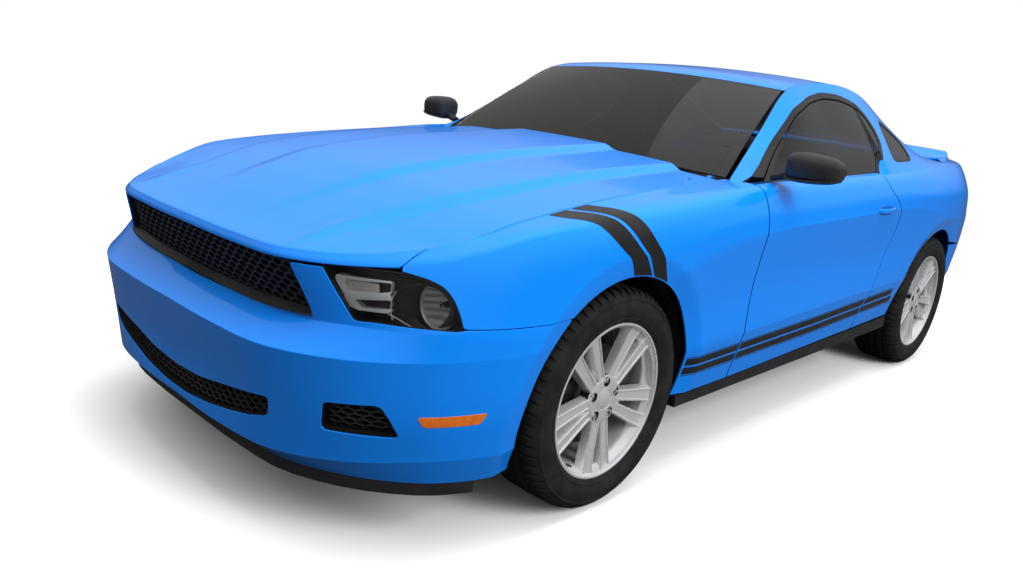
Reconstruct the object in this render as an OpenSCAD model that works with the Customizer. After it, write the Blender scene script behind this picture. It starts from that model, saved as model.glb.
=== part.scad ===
// Two-door fastback coupe with a long hood and rear-wheel drive.
// X points forward, Y to the left, Z up. The origin is on the ground under the middle of the car.
// Every body panel is a patch of one lofted surface, so neighbours share the same curves.

/* [Body] */
// overall length in mm
body_len = 4778; // [4700:1:4860]
// width over the body sides, mirrors not counted
body_w = 1876; // [1840:1:1920]
// height over the roof
body_h = 1412; // [1395:1:1440]
// thickness of the sheet panels
skin = 6; // [5:0.5:7]
// shut gap round the doors and lids
shut = 8; // [7:0.5:9]
// gap between pieces fastened together
seam = 0.3; // [0.2:0.05:0.4]
// thickness of the window glass
glass_t = 5; // [4:0.5:6]

/* [Wheels] */
// outer diameter of the tyre
tyre_d = 700; // [690:1:708]
// section width of the tyre
tyre_w = 235; // [215:1:240]
// diameter over the rim flanges
rim_d = 494; // [470:1:500]
// number of spoke pairs
spoke_pairs = 5; // [4:1:6]
// distance between the wheel centre planes
track = 1572; // [1556:1:1584]
// free radius between tyre and wheel arch
arch_gap = 45; // [40:1:50]

/* [Doors and lids] */
// height of the lower door hinge
hinge_low = 520; // [500:1:540]
// height of the upper door hinge
hinge_high = 780; // [760:1:800]
// radius of the hinge pins
pin_r = 8; // [6:0.5:9]
// running clearance of the hinge pins
pin_gap = 0.1; // [0.05:0.01:0.1]

/* [Hidden] */
$fn = 48;
sx = body_len / 4778;
sy = body_w / 1876;
sz = body_h / 1412;
lift = tyre_d / 2 - 350 * sz;
wheel_z = tyre_d / 2;
front_x = 1439 * sx;
rear_x = -1281 * sx;
wheel_y = track / 2;
arch_r = tyre_d / 2 + arch_gap;
kingpin_y = wheel_y - 22;
blue = [0.03, 0.38, 0.85];
black = [0.03, 0.03, 0.035];
dark = [0.12, 0.12, 0.13];
steel = [0.55, 0.56, 0.58];
silver = [0.78, 0.79, 0.8];
tint = [0.06, 0.07, 0.08];

// Stations along half of the plan outline, from the middle of the nose round to the middle of the tail.
// Columns: x, y of the widest line, then inset and height of hem, low, waist, crease, shoulder, belt, top.
STATIONS = [
  [2389,   0, 85, 212, 30, 252, 30, 385, 0, 545, 98, 603,  52,  757,  62,  782],
  [2387, 250, 85, 212, 30, 252, 30, 385, 0, 545, 98, 603,  52,  758,  62,  783],
  [2366, 480, 90, 210, 42, 254, 26, 388, 0, 548, 92, 608,  52,  763,  66,  788],
  [2268, 676, 90, 208, 44, 268, 18, 396, 0, 556, 55, 626,  72,  772,  95,  800],
  [2120, 820, 82, 206, 40, 286, 12, 408, 0, 566, 16, 636,  70,  792, 112,  830],
  [1975, 892, 75, 206, 34, 292, 10, 420, 0, 575,  8, 650,  62,  832, 125,  862],
  [1829, 922, 68, 210, 30, 294,  8, 430, 0, 580,  6, 655,  55,  868, 145,  890],
  [1439, 936, 60, 240, 26, 340,  8, 480, 0, 650, 10, 800,  50,  912, 168,  942],
  [1049, 937, 58, 282, 20, 450, 20, 600, 4, 790, 12, 872,  52,  950, 184,  972],
  [ 705, 937, 58, 290, 20, 470, 22, 640, 0, 838, 16, 915,  60,  985, 200,  992],
  [ 100, 938, 58, 308, 20, 492, 24, 660, 0, 860, 18, 936,  64, 1006, 200, 1012],
  [-560, 938, 58, 326, 20, 512, 22, 680, 0, 880, 16, 956,  72, 1030, 200, 1036],
  [-896, 938, 58, 336, 20, 520, 14, 690, 0, 868, 12, 950,  84, 1045, 210, 1052],
  [-1281, 932, 55, 340, 16, 520, 4, 680, 0, 820, 20, 955, 112, 1060, 235, 1076],
  [-1666, 898, 58, 320, 20, 480, 4, 650, 0, 790, 22, 945, 110, 1062, 232, 1082],
  [-1990, 820, 62, 295, 24, 440, 4, 625, 0, 765, 28, 932,  92, 1056, 190, 1080],
  [-2215, 722, 70, 280, 30, 415, 0, 605, 8, 742, 36, 920,  72, 1050, 140, 1080],
  [-2330, 580, 80, 272, 36, 405, 0, 592, 14, 722, 42, 905, 56, 1045, 106, 1082],
  [-2376, 340, 85, 268, 40, 398, 0, 585, 18, 706, 48, 890, 46, 1042, 96, 1088],
  [-2389,   0, 85, 265, 40, 395, 0, 582, 20, 700, 50, 880, 42, 1040, 92, 1092]
];
LAST = len(STATIONS) - 1;

function S(p) = [p[0] * sx, p[1] * sy, p[2] * sz + lift];
function Z(z) = z * sz + lift;
function mirrored(r) = [for (i = [0 : len(r) - 1]) i == 1 ? -r[i] : r[i]];
function mixed(a, b, f) = a + (b - a) * f;
function ease(f) = let (g = min(max(f, 0), 1)) g * g * (3 - 2 * g);
// running length along a list of points
function run(P) = [for (i = 0, t = 0; i < len(P);
  t = t + (i + 1 < len(P) ? norm(P[i + 1] - P[i]) : 0), i = i + 1) t];
// smooth curve through points P at lengths T, at index u; H marks points with a sharp fold
function curve(P, T, u, H) = let (
  n = len(P), i = min(max(floor(u), 0), n - 2), f = u - i, h = T[i + 1] - T[i],
  d = (P[i + 1] - P[i]) / h,
  a = (i == 0 || H[i] == 1) ? d : (P[i + 1] - P[i - 1]) / (T[i + 1] - T[i - 1]),
  b = (i == n - 2 || H[i + 1] == 1) ? d : (P[i + 2] - P[i]) / (T[i + 2] - T[i]))
  P[i] * (2 * f * f * f - 3 * f * f + 1) + a * h * (f * f * f - 2 * f * f + f)
  + P[i + 1] * (3 * f * f - 2 * f * f * f) + b * h * (f * f * f - f * f);
LOFT = concat([mirrored(STATIONS[1])], STATIONS, [mirrored(STATIONS[LAST - 1])]);
LOFT_T = run([for (r = LOFT) [r[0], r[1]]]);
function station(u) = curve(LOFT, LOFT_T, u + 1, []);
// point of the body surface: u runs round the plan from the nose, v up from hem to top
function loft(u, v) = let (
  w = abs(u) > LAST ? 2 * LAST - abs(u) : abs(u), s = (u < 0) != (abs(u) > LAST) ? -1 : 1,
  r = station(w), a = station(w - 0.01), b = station(w + 0.01),
  d = [b[0] - a[0], b[1] - a[1]], n = [d[1], -d[0]] / norm(d),
  q = [for (k = [0 : 6]) [r[2 + 2 * k], r[3 + 2 * k]]],
  c = curve(q, run(q), v, [0, 1, 0, 1, w < 4.6 ? 1 : 0, 0, 0]))
  [r[0] - n[0] * c[0], s * (r[1] - n[1] * c[0]), c[1]];
SIDE_U = [for (u = [5 : 0.1 : 17]) [-station(u)[0], u]];
function u_at(x) = lookup(-x, SIDE_U);

// grid moved along its own normal by t
function inward(g, t) = let (n = len(g) - 1, m = len(g[0]) - 1)
  [for (i = [0 : n]) [for (j = [0 : m]) let (
    du = g[min(i + 1, n)][j] - g[max(i - 1, 0)][j],
    dv = g[i][min(j + 1, m)] - g[i][max(j - 1, 0)], c = cross(du, dv))
    g[i][j] - c * (t / norm(c))]];
// solid between an outer and an inner grid of points
module slab(g, h) {
  n = len(g);
  m = len(g[0]);
  k = n * m;
  pts = [for (r = concat(g, h)) each [for (p = r) S(p)]];
  top = [for (i = [0 : n - 2]) for (j = [0 : m - 2]) each
    [[i * m + j, i * m + j + 1, (i + 1) * m + j + 1], [i * m + j, (i + 1) * m + j + 1, (i + 1) * m + j]]];
  low = [for (f = top) [k + f[2], k + f[1], k + f[0]]];
  rim = concat([for (j = [0 : m - 2]) j], [for (i = [0 : n - 2]) i * m + m - 1],
    [for (j = [m - 1 : -1 : 1]) (n - 1) * m + j], [for (i = [n - 1 : -1 : 1]) i * m]);
  edge = [for (i = [0 : len(rim) - 1]) let (a = rim[i], b = rim[(i + 1) % len(rim)]) each
    [[a, a + k, b + k], [a, b + k, b]]];
  polyhedron(pts, concat(top, low, edge), convexity = 8);
}
module sheet(g, t) slab(g, inward(g, t));
// prism across the car from a side view outline
module across(p, y0, y1)
  translate([0, y1 * sy, 0]) rotate([90, 0, 0]) linear_extrude((y1 - y0) * sy)
    polygon([for (q = p) [q[0] * sx, Z(q[1])]]);
// prism along the car from a front view outline
module along(p, x0, x1)
  translate([x0 * sx, 0, 0]) rotate([90, 0, 90]) linear_extrude((x1 - x0) * sx)
    polygon([for (q = p) [q[0] * sy, Z(q[1])]]);
// box given by its limits
module box(x0, x1, y0, y1, z0, z1)
  translate([x0 * sx, y0 * sy, Z(z0)])
    cube([(x1 - x0) * sx, (y1 - y0) * sy, Z(z1) - Z(z0)]);
module both() {
  children();
  mirror([0, 1, 0]) children();
}
// outline of a strip t wide under a polyline
function strip(p, t) = let (n = len(p) - 1, q = [for (i = [0 : n]) let (
  d = p[min(i + 1, n)] - p[max(i - 1, 0)]) p[i] + [d[1], -d[0]] * (t / norm(d))])
  concat(p, [for (i = [n : -1 : 0]) q[i]]);

// openings of the nose, seen from the front or square to the corner
GRILLE = [[-541, 622], [-300, 604], [0, 600], [300, 604], [541, 622], [470, 800], [-470, 800]];
LOW_GRILLE = [[0, 340], [140, 348], [283, 372], [400, 392], [480, 405], [471, 346], [400, 324],
  [321, 307], [200, 286], [62, 270], [0, 269]];
LOW_OUTLINE = concat(LOW_GRILLE, [for (i = [len(LOW_GRILLE) - 2 : -1 : 1])
  [-LOW_GRILLE[i][0], LOW_GRILLE[i][1]]]);
DUCT = [[628, 434], [745, 446], [760, 410], [773, 355], [616, 352]];
LAMP = [[-1212, 772], [-1002, 774], [-940, 763], [-898, 748], [-871, 720], [-851, 682], [-838, 644],
  [-911, 645], [-1058, 643], [-1113, 637], [-1165, 704]];
// line between bumper and fender, and between rear bumper and quarter
split_z = 651;
tail_z = 640;
function shrunk(p, t) = let (n = len(p), c = [for (k = [0 : 1]) [for (q = p) 1] * [for (q = p) q[k]] / n])
  [for (q = p) q + (c - q) * (t / norm(c - q))];
module lamp_prism(t)
  rotate([0, 0, 45]) translate([1500 * sx, 0, 0]) rotate([90, 0, 90]) linear_extrude(1100 * sx)
    polygon([for (q = shrunk(LAMP, t)) [q[0] * sx, Z(q[1])]]);
module arches(r)
  for (x = [front_x, rear_x]) translate([x, -1100 * sy, wheel_z]) rotate([-90, 0, 0])
    cylinder(r = r, h = 2200 * sy, $fn = 72);

module front_bumper() color(blue) {
  v_rows = [0, 0.5, 1, 1.5, 2, 2.5, 3, 3.5, 4, 4.5, 4.93];
  g = [for (i = [-17 : 17]) [for (v = v_rows) loft(i * 6.5 / 17, v)]];
  difference() {
    sheet(g, skin);
    arches(arch_r);
    along(GRILLE, 1500, 2600);
    along(LOW_OUTLINE, 2200, 2600);
    both() along(DUCT, 2000, 2500);
    both() lamp_prism(0);
    box(1400, 2190, -1000, 1000, split_z - seam / 2, 1000);
  }
}

FENDER_TOP = [[3.61, 5.06], [3.71, 5.45], [3.87, 5.89], [4.05, 6]];
door_front = 706;
fender_end = door_front + shut;
module front_fenders() color(blue) both() {
  u_rows = [3.61, 3.71, 3.87, 4.05, 4.4, 4.8, 5.2, 5.6, 6, 6.5, 7, 7.35, 7.7, 8, 8.33, 8.66,
    u_at(fender_end)];
  g = [for (u = u_rows) let (a = u < 7 ? 3.5 : max(0, 5 * (7.7 - u)), b = lookup(u, FENDER_TOP))
    [for (j = [0 : 8]) loft(u, mixed(a, b, j / 8))]];
  h = inward(g, skin);
  difference() {
    slab(g, concat([for (i = [0 : len(h) - 2]) h[i]], [[for (p = h[len(h) - 1]) p + [8, 0, 0]]]));
    arches(arch_r);
    lamp_prism(-seam);
    box(1400, 2400, 0, 1000, 100, split_z + seam / 2);
  }
}

// rear cut of the door: height, x
DOOR_REAR = [[250, -380], [330, -392], [440, -424], [644, -508], [712, -535], [797, -556], [893, -528],
  [969, -430], [1040, -395]];
door_in = 800;
hinge_x = door_front - 50;
hinge_y = 872;
function door_x(i, n, z) = i == 0 ? door_front : i == 1 ? 655 : i == 2 ? 606 :
  mixed(592, lookup(z, DOOR_REAR), (i - 3) / (n - 3));
module door_shell() {
  v_rows = [0, 0.5, 1, 1.5, 2, 2.5, 3, 3.5, 4, 4.5, 5, 5.2];
  n = 9;
  g = [for (i = [0 : n]) [for (v = v_rows) let (z = loft(u_at(-500), v)[2])
    loft(u_at(door_x(i, n, z)), v)]];
  h = [for (i = [0 : n]) [for (p = g[i]) [p[0] + (i == n ? 16 : 0), i < 3 ? p[1] - 28 : door_in, p[2]]]];
  slab(g, h);
}
module door_leaf(z) {
  translate([hinge_x * sx, hinge_y * sy, Z(z) - 18]) cylinder(r = pin_r + 4, h = 36);
  translate([580 * sx, hinge_y * sy - 6, Z(z) - 18]) cube([(hinge_x - 580) * sx, 12, 36]);
}
module door() difference() {
  union() {
    door_shell();
    for (z = [hinge_low, hinge_high]) door_leaf(z);
    box(540, 614, 843, 872, 950, 1000);
    box(-445, -270, 915, 957, 869, 893);
  }
  for (z = [hinge_low, hinge_high]) translate([hinge_x * sx, hinge_y * sy, Z(z) - 50])
    cylinder(r = pin_r + pin_gap, h = 100);
}
module left_door() color(blue) door();
module right_door() color(blue) mirror([0, 1, 0]) door();

// hinge pillars with the fixed hinge leaves and pins, and the lock pillars behind the doors
module hinge_pillars() color(dark) both() {
  box(604, 650, 745, 838, 340 + seam, 950);
  box(-640, -600, 760, 876, 340 + seam, 960);
  for (z = [hinge_low, hinge_high]) {
    for (d = [-42, 24]) {
      translate([hinge_x * sx, hinge_y * sy, Z(z) + d]) cylinder(r = pin_r + 3, h = 18);
      translate([hinge_x * sx - pin_r - 3, 800 * sy, Z(z) + d])
        cube([2 * pin_r + 6, (hinge_y - 800) * sy, 18]);
      translate([630 * sx, 800 * sy, Z(z) + d]) cube([20 * sx, 38 * sy, 18]);
    }
    translate([hinge_x * sx, hinge_y * sy, Z(z) - 42]) cylinder(r = pin_r, h = 84);
  }
}

// side glass surface: y over z
function glass_y(z) = 848 - 0.55 * (z - 1010) - 0.00015 * (z - 1010) * (z - 1010);
// upper edge of the body side from the front pillar foot over the roof to the deck
RAIL = [[712, 752, 992], [430, 687, 1165], [165, 628, 1326], [-120, 594, 1372], [-420, 586, 1384],
  [-700, 580, 1354], [-980, 572, 1275], [-1230, 568, 1180], [-1450, 566, 1092]];
RAIL_T = run(RAIL);
// lower edge of the side frame over the rail index
BELT = [[735, 852, 978], [430, 854, 988], [165, 853, 997], [-120, 852, 1007], [-420, 851, 1018],
  [-700, 855, 1036], [-980, 848, 1048], [-1230, 826, 1057], [-1500, 770, 1070]];
BELT_T = run(BELT);
QUARTER_TOP = [[11, 5], [13.1, 5], [14.6, 6], [17, 6]];
function belt(w) = let (p = curve(BELT, BELT_T, w, []), u = u_at(p[0]))
  p[0] > -500 ? p : loft(u, lookup(u, QUARTER_TOP)) + [0, 0, 1.3];
DOOR_WINDOW = [[712, 1000], [520, 1093], [340, 1184], [160, 1264], [-11, 1316], [-172, 1342], [-340, 1344],
  [-489, 1324], [-566, 1286], [-596, 1225], [-588, 1168], [-520, 1100], [-432, 1038], [-425, 900],
  [780, 900], [780, 1000]];
QUARTER_WINDOW = [[-690, 1220], [-640, 1130], [-628, 1085], [-660, 1076], [-880, 1082], [-925, 1110],
  [-962, 1170], [-900, 1208], [-800, 1246], [-745, 1256]];
module side_shell(t) {
  n = 20;
  g = [for (i = [0 : n]) let (w = i * 8 / n, a = belt(w), b = curve(RAIL, RAIL_T, w, []))
    [for (j = [0 : 5]) let (f = j / 5, p = mixed(a, b, f)) p + [0, 26 * f * (1 - f), 0]]];
  h = [for (r = inward(g, t)) r];
  slab(g, [for (i = [0 : n]) [for (j = [0 : 5]) j == 5 ? g[i][j] + [0, -0.55 * t, -0.84 * t] :
    j == 0 ? g[i][j] - [0, 0.9 * t, 0] : h[i][j]]]);
}
module side_frames() color(blue) both() difference() {
  side_shell(18);
  across(DOOR_WINDOW, 400, 1000);
  across(QUARTER_WINDOW, 400, 1000);
}

function roof_row(w) = let (b = curve(RAIL, RAIL_T, w, []))
  [for (j = [-6 : 6]) let (f = j / 6, k = 1 - f * f) [b[0] + 66 * k * ease(3.2 - w) - 30 * k * ease(w - 4),
    f * (b[1] - 2 * seam), b[2] + 26 * (1 - f * f)]];
module roof() color(blue) {
  g = [for (j = [12 : -1 : 0]) [for (i = [8 : -1 : 0]) roof_row(2 + 0.4 * i)[j]]];
  n = 12;
  slab(g, [for (i = [0 : n]) [for (p = g[i]) p + [0, i == 0 ? -14 : i == n ? 14 : 0, -18]]]);
}

// windshield between the foot line and the roof edge
function shield(f, t) = let (a = [750 - 40 * t * t, 745 * t, 1000 - 16 * t * t],
  b = [234.4 - 66 * t * t, 626 * t, 1352 - 26 * t * t], p = mixed(a, b, f))
  p + [30, 0, 46] * (f * (1 - f)) ;
module windshield() color(tint) {
  g = [for (j = [6 : -1 : -6]) [for (i = [8 : -1 : 0]) shield(0.03 + 0.97 * i / 8, 0.98 * j / 6)]];
  sheet([for (r = g) [for (i = [8 : -1 : 0]) r[8 - i]]], glass_t);
}

hood_rear = 772;
HOOD_SIDE = [for (u = [4.05 : 0.25 : 9]) let (p = loft(u, 6)) [-p[0], p[1], p[2]]];
function side_y(x) = lookup(-x, [for (p = HOOD_SIDE) [p[0], p[1]]]);
function side_z(x) = lookup(-x, [for (p = HOOD_SIDE) [p[0], p[2]]]);
// height of the hood: crown, then an outer and an inner step of the power dome
function hood_z(x, y) = let (g = side_y(min(x, 2049)),
  z = x > 2049 ? side_z(2049) - (x - 2049) * 0.2 : side_z(x),
  t = min(abs(y) / g, 1), k = ease((2330 - x) / 700))
  z + mixed(14, 22, k) * (1 - t * t) + 20 * ease((mixed(470, 590, k) - abs(y)) / 55)
  + 18 * k * ease((mixed(215, 290, k) - abs(y)) / 70);
lid_x = 745;
lid_z = 985;
module lug(x, y0, y1, z, r)
  translate([x * sx, y0 * sy, Z(z)]) rotate([-90, 0, 0]) cylinder(r = r, h = (y1 - y0) * sy);
module hood_shell() {
  n = 14;
  front = [for (i = [-n : n]) let (u = 3.56 * i / n) [loft(u, 5.03), loft(u, 5.5), loft(u, 6)]];
  m = 12;
  e = loft(3.56, 6);
  k = e[1] / (side_y(2049) - shut);
  g = [for (i = [2 * n : -1 : 0]) let (c = front[i], p = c[2], f = p[1] / loft(3.56, 6)[1])
    concat([for (j = [0 : m - 1]) let (s = j / m, x = mixed(hood_rear, p[0], s),
      y = f * (side_y(min(x, 2049)) - shut) * (x > 2049 ? mixed(1, k, (x - 2049) / (e[0] - 2049)) : 1))
      [x, y, hood_z(x, y)]], [p, c[1], c[0]])];
  sheet(g, skin);
}
module hood() color(blue) difference() {
  union() {
    hood_shell();
    both() {
      box(lid_x, 880, 684, 700, 968, 988);
      lug(lid_x, 684, 700, lid_z, 12);
    }
  }
  both() lug(lid_x, 660, 724, lid_z, pin_r + pin_gap);
}
// plates and pins of the hood hinges
module hood_hinges() color(dark) both() {
  for (y = [670, 706]) {
    lug(lid_x, y, y + 8, lid_z, 12);
    box(lid_x - 12, lid_x + 12, y, y + 8, 950 + seam, lid_z);
  }
  lug(lid_x, 670, 714, lid_z, pin_r);
}

module cowl() color(black) {
  across(strip([[905, 902.5], [868, 930], [800, 940], [718, 940]], 10), -735, 735);
  g = [for (j = [-6 : 6]) let (p = shield(0.024, 0.98 * j / 6))
    [[mixed(722, p[0], 0.2), p[1], 946], p - [0, 0, 2.3]]];
  slab(g, [for (r = g) [for (q = r) q - [8, 0, 0]]]);
}

// rear quarters from the door to the tail lamps
tail_u = 16.3;
module quarter_panels() color(blue) both() {
  n = 13;
  g = [for (i = [0 : n]) [for (j = [0 : 10]) let (
    z = loft(u_at(-500), 5 * j / 10)[2], u0 = u_at(lookup(z, DOOR_REAR) - shut),
    u = mixed(u0, tail_u, i / n), b = lookup(u, QUARTER_TOP), a = max(0, min(2, 2 * (u - 12.5))))
    loft(u, mixed(a, b, j / 10))]];
  difference() {
    sheet(g, skin);
    arches(arch_r);
    across([[-1500, tail_z + seam / 2], [-2500, tail_z + seam / 2], [-2500, 100], [-1500, 100]], 0, 1000);
  }
}
module rear_bumper() color(blue) {
  g = [for (i = [-16 : 16]) [for (v = [0, 0.5, 1, 1.5, 2, 2.5, 3]) loft(LAST + i * 5 / 16, v)]];
  difference() {
    sheet(g, skin);
    arches(arch_r);
    box(-2500, -1400, -1000, 1000, tail_z - seam / 2, 1000);
  }
}
TAIL_LAMP = [[430, 905], [500, 908], [575, 912], [700, 915], [700, 735], [575, 728], [500, 725],
  [430, 722]];
module tail_panel() color(blue) {
  k = LAST - tail_u - 0.02;
  g = [for (i = [-10 : 10]) [for (j = [0 : 6]) loft(LAST + i * k / 10, mixed(2.2, 5.1, j / 6))]];
  difference() {
    sheet(g, skin);
    box(-2500, -1400, -1000, 1000, 300, tail_z + seam / 2);
    both() along(TAIL_LAMP, -2600, -1900);
  }
}
// limits in y of the three upright bars of a tail lamp
TAIL_BARS = [[432, 512], [524, 604], [616, 698]];
module tail_lamps() color([0.55, 0.02, 0.03]) both() {
  k = LAST - tail_u - 0.12;
  g = [for (i = [0 : 10]) [for (j = [0 : 6]) loft(LAST - k + i * k / 10, mixed(2.4, 4.9, j / 6))]];
  intersection() {
    slab(inward(g, 30 + seam), inward(g, 60));
    along(shrunk(TAIL_LAMP, seam), -2600, -1900);
  }
  intersection() {
    slab(inward(g, 2), inward(g, 30));
    along(shrunk(TAIL_LAMP, seam), -2600, -1900);
    for (b = TAIL_BARS) along([[b[0], 600], [b[1], 600], [b[1], 1000], [b[0], 1000]], -2600, -1900);
  }
}

deck_front = -1496;
deck_z = 1080;
deck_x = -1482;
DECK_SIDE = [for (u = [13 : 0.2 : 16.6]) let (p = loft(u, 6)) [-p[0], p[1], p[2]]];
function deck_y(x) = lookup(-x, [for (p = DECK_SIDE) [p[0], p[1]]]) - shut;
function deck_h(x, y) = lookup(-x, [for (p = DECK_SIDE) [p[0], p[2]]]) + 16 * (1 - pow(y / 720, 2))
  + 30 * ease((-2080 - x) / 130);
module decklid() color(blue) difference() {
  union() {
    n = 8;
    m = 10;
    g = [for (i = [-n : n]) let (q = loft(LAST + 2.3 * i / n, 6), f = q[1] / loft(LAST - 2.3, 6)[1])
      [for (j = [0 : m]) let (x = mixed(q[0] + shut, deck_front, j / m), y = f * deck_y(x))
        [x, y, deck_h(x, y)]]];
    slab(g, [for (r = g) [for (p = r) p - [0, 0, 12]]]);
    both() {
      box(-1600, deck_x, 440, 456, 1064, 1084);
      lug(deck_x, 440, 456, deck_z, 12);
    }
  }
  both() lug(deck_x, 400, 500, deck_z, pin_r + pin_gap);
}
module rear_shelf() color(dark) {
  across(strip([[-1060, 1000], [-1440, 1052], [-1476, 1052]], 12), -600, 600);
  both() {
    for (y = [424, 464]) {
      lug(deck_x, y, y + 8, deck_z, 11);
      box(deck_x - 11, deck_x + 11, y, y + 8, 1045, deck_z);
    }
    lug(deck_x, 424, 472, deck_z, pin_r);
  }
}
function back(f, t) = let (e = curve(RAIL, RAIL_T, 5.2, []),
  a = [-1440 - 20 * (1 - t * t), 560 * t, 1092 + 14 * (1 - t * t)],
  b = [e[0] - 2.3 - 30 * (1 - t * t), (e[1] - 4) * t, e[2] + 26 * (1 - t * t)])
  mixed(a, b, f) + [-30, 0, 44] * (f * (1 - f));
module rear_window() color(tint)
  sheet([for (j = [6 : -1 : -6]) [for (i = [0 : 7]) back(0.02 + 0.98 * i / 7, 0.975 * j / 6)]], glass_t);
module quarter_windows() color(tint) both() intersection() {
  translate([0, -4, -3]) side_shell(glass_t);
  across(shrunk(QUARTER_WINDOW, seam), 400, 1000);
}
DOOR_GLASS = [[660, 1012], [520, 1082], [340, 1172], [160, 1252], [-11, 1304], [-172, 1330], [-340, 1332],
  [-482, 1312], [-556, 1276], [-584, 1222], [-576, 1170], [-508, 1104], [-425, 1046], [-400, 1030.8],
  [-300, 1027.4], [-100, 1020], [100, 1013], [300, 1007], [500, 1001], [620, 996.5], [660, 994.7]];
module door_glass() intersection() {
  translate([0, -2, 0.6]) side_shell(glass_t);
  across(DOOR_GLASS, 400, 1000);
}
module left_door_glass() color(tint) door_glass();
module right_door_glass() color(tint) mirror([0, 1, 0]) door_glass();

// rounded corners of the mirror shell: x, y, z, radius
MIRROR = [[598, 932, 1036, 30], [596, 930, 1092, 32], [584, 1054, 1044, 22], [580, 1050, 1086, 26]];
module mirror_pod()
  hull() for (c = MIRROR) translate(S([c[0], c[1], c[2]])) sphere(r = c[3], $fn = 20);
module door_mirror() {
  difference() {
    mirror_pod();
    box(400, 545, 880, 1100, 900, 1200);
  }
  box(548, 606, 850, 930, 1000 + seam, 1040);
}
module left_mirror() color(black) door_mirror();
module right_mirror() color(black) mirror([0, 1, 0]) door_mirror();

// tub: bulkhead, floor, kick-up and boot floor as plates joined at their bends, with tunnel and sills
TUB = [[905, 902], [955, 640], [955, 430], [800, 215], [-430, 215], [-560, 330], [-800, 420], [-1000, 500],
  [-1500, 520], [-1620, 400], [-2200, 400], [-2235, 630]];
// plate i of the tub between the planes y0 and y1, a seam short at each bend
module tub_plate(i, y0, y1) {
  n = len(TUB) - 1;
  s = strip(TUB, -10);
  e = seam / 2 / norm(TUB[i + 1] - TUB[i]);
  a = [s[i], s[i + 1]];
  b = [s[2 * n + 1 - i], s[2 * n - i]];
  p = concat([for (f = [e, 1 - e]) mixed(a[0], a[1], f)], [for (f = [1 - e, e]) mixed(b[0], b[1], f)]);
  across(p, y0, y1);
}
module floor_pan() color(dark) {
  for (i = [0, 1, 6, 7, 8, 9, 10]) tub_plate(i, -635, 635);
  box(-799.7, 954.7, -140, 140, 420, 430);
  both() {
    for (i = [2 : 5]) tub_plate(i, 140 + seam, 635);
    box(-799.7, 954.7, 130, 140, 206, 420 - seam);
    box(-860, 800, 635 + seam, 720 - seam, 205, 215);
    box(-860, 1005, 720, 790, 205, 340);
    box(900, 955, 635 + seam, 735, 340 + seam, 895);
    box(912, 953, 735 + seam, 790, 850, 940);
    box(912, 953, 756, 790, 940 + seam, 968.4);
  }
}
module rocker_mouldings() color(black) both()
  across([[1030, 236], [-860, 262], [-860, 318], [1030, 276]], 790 + seam, 872);

module wheel_liners() color(black) both()
  for (x = [front_x, rear_x])
    translate([x, (x > 0 ? 470.3 : 635.3) * sy, wheel_z]) rotate([-90, 0, 0]) difference() {
    cylinder(r = arch_r + 12, h = (x > 0 ? 394.7 : 189.7) * sy, $fn = 72);
    translate([0, 0, -1]) cylinder(r = arch_r + 8, h = 500, $fn = 72);
    translate([-600, 60, -1]) cube([1200, 600, 500]);
    if (x > 0) translate([0, -600, 104.7 * sy]) rotate([-90, 0, 0]) cylinder(r = 60, h = 700);
  }
module engine() color(steel) {
  box(1150, 1750, -240, 240, 300, 560);
  both() translate(S([1170, 110, 560])) rotate([-30, 0, 0]) translate([0, -110, -60])
    cube([540 * sx, 220, 250]);
  box(1180, 1700, -110, 110, 480, 780);
  box(1250, 1650, -150, 150, 240 + seam, 305);
  box(180, 1160, -105, 105, 222, 405);
}
module driveshaft() color(dark)
  translate([rear_x + 125, 0, wheel_z - 50]) rotate([0, 90, 0])
    cylinder(r = 38, h = 180 * sx - rear_x - 125 - seam);
module front_frame() color(dark) {
  both() {
    box(966, 2180, 380, 450, 400, 500);
    box(980, 1040, 380, 450, 240, 400);
  }
  box(2110, 2180, -380, 380, 430, 470);
  box(2110, 2180, -450, 450, 690, 730);
  both() box(2110, 2180, 380, 440, 500, 690);
}
module front_suspension() color(steel) {
  box(1380, 1500, -400, 400, 190, 240);
  both() {
    box(1400, 1480, 340, 400, 240, 400 - 0.3);
    translate([front_x - 25, 380 * sy, wheel_z - 145]) cube([50, kingpin_y + 14 - 380 * sy, 24]);
    translate([front_x, kingpin_y, wheel_z - 145]) cylinder(r = 10, h = 60);
    translate([front_x, 575 * sy, wheel_z + 116]) cylinder(r = 25, h = Z(866) - wheel_z - 116);
    translate([front_x - 20, 575 * sy, wheel_z + 116]) cube([40, kingpin_y + 14 - 575 * sy, 24]);
    translate([front_x, kingpin_y, wheel_z + 80]) cylinder(r = 10, h = 58);
    translate([front_x, 575 * sy, Z(866) - 8]) cylinder(r = 70, h = 8);
    box(1400, 1480, 448, 575, 842, 858);
    box(1400, 1480, 452, 470, 500 + 0.3, 858);
  }
}
module knuckle() difference() {
  union() {
    translate([front_x, kingpin_y, wheel_z - 112]) cylinder(r = 22, h = 46);
    translate([front_x, kingpin_y, wheel_z + 60]) cylinder(r = 22, h = 46);
    translate([front_x - 25, kingpin_y - 62, wheel_z - 112]) cube([50, 44, 218]);
    translate([front_x, kingpin_y - 40, wheel_z]) rotate([-90, 0, 0]) cylinder(r = 40, h = 30);
    translate([front_x, kingpin_y - 20, wheel_z]) rotate([-90, 0, 0]) cylinder(r = 22, h = 82);
    translate([front_x - 180, kingpin_y - 60, wheel_z - 20]) cube([170, 20, 40]);
    translate([front_x - 172, kingpin_y - 60, wheel_z - 60]) cube([60, 126, 120]);
  }
  translate([front_x - 168, wheel_y, wheel_z - 70]) cube([70, 34, 140]);
  for (z = [-120, 50]) translate([front_x, kingpin_y, wheel_z + z]) cylinder(r = 10 + pin_gap, h = 70);
}
module left_knuckle() color(steel) knuckle();
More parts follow.
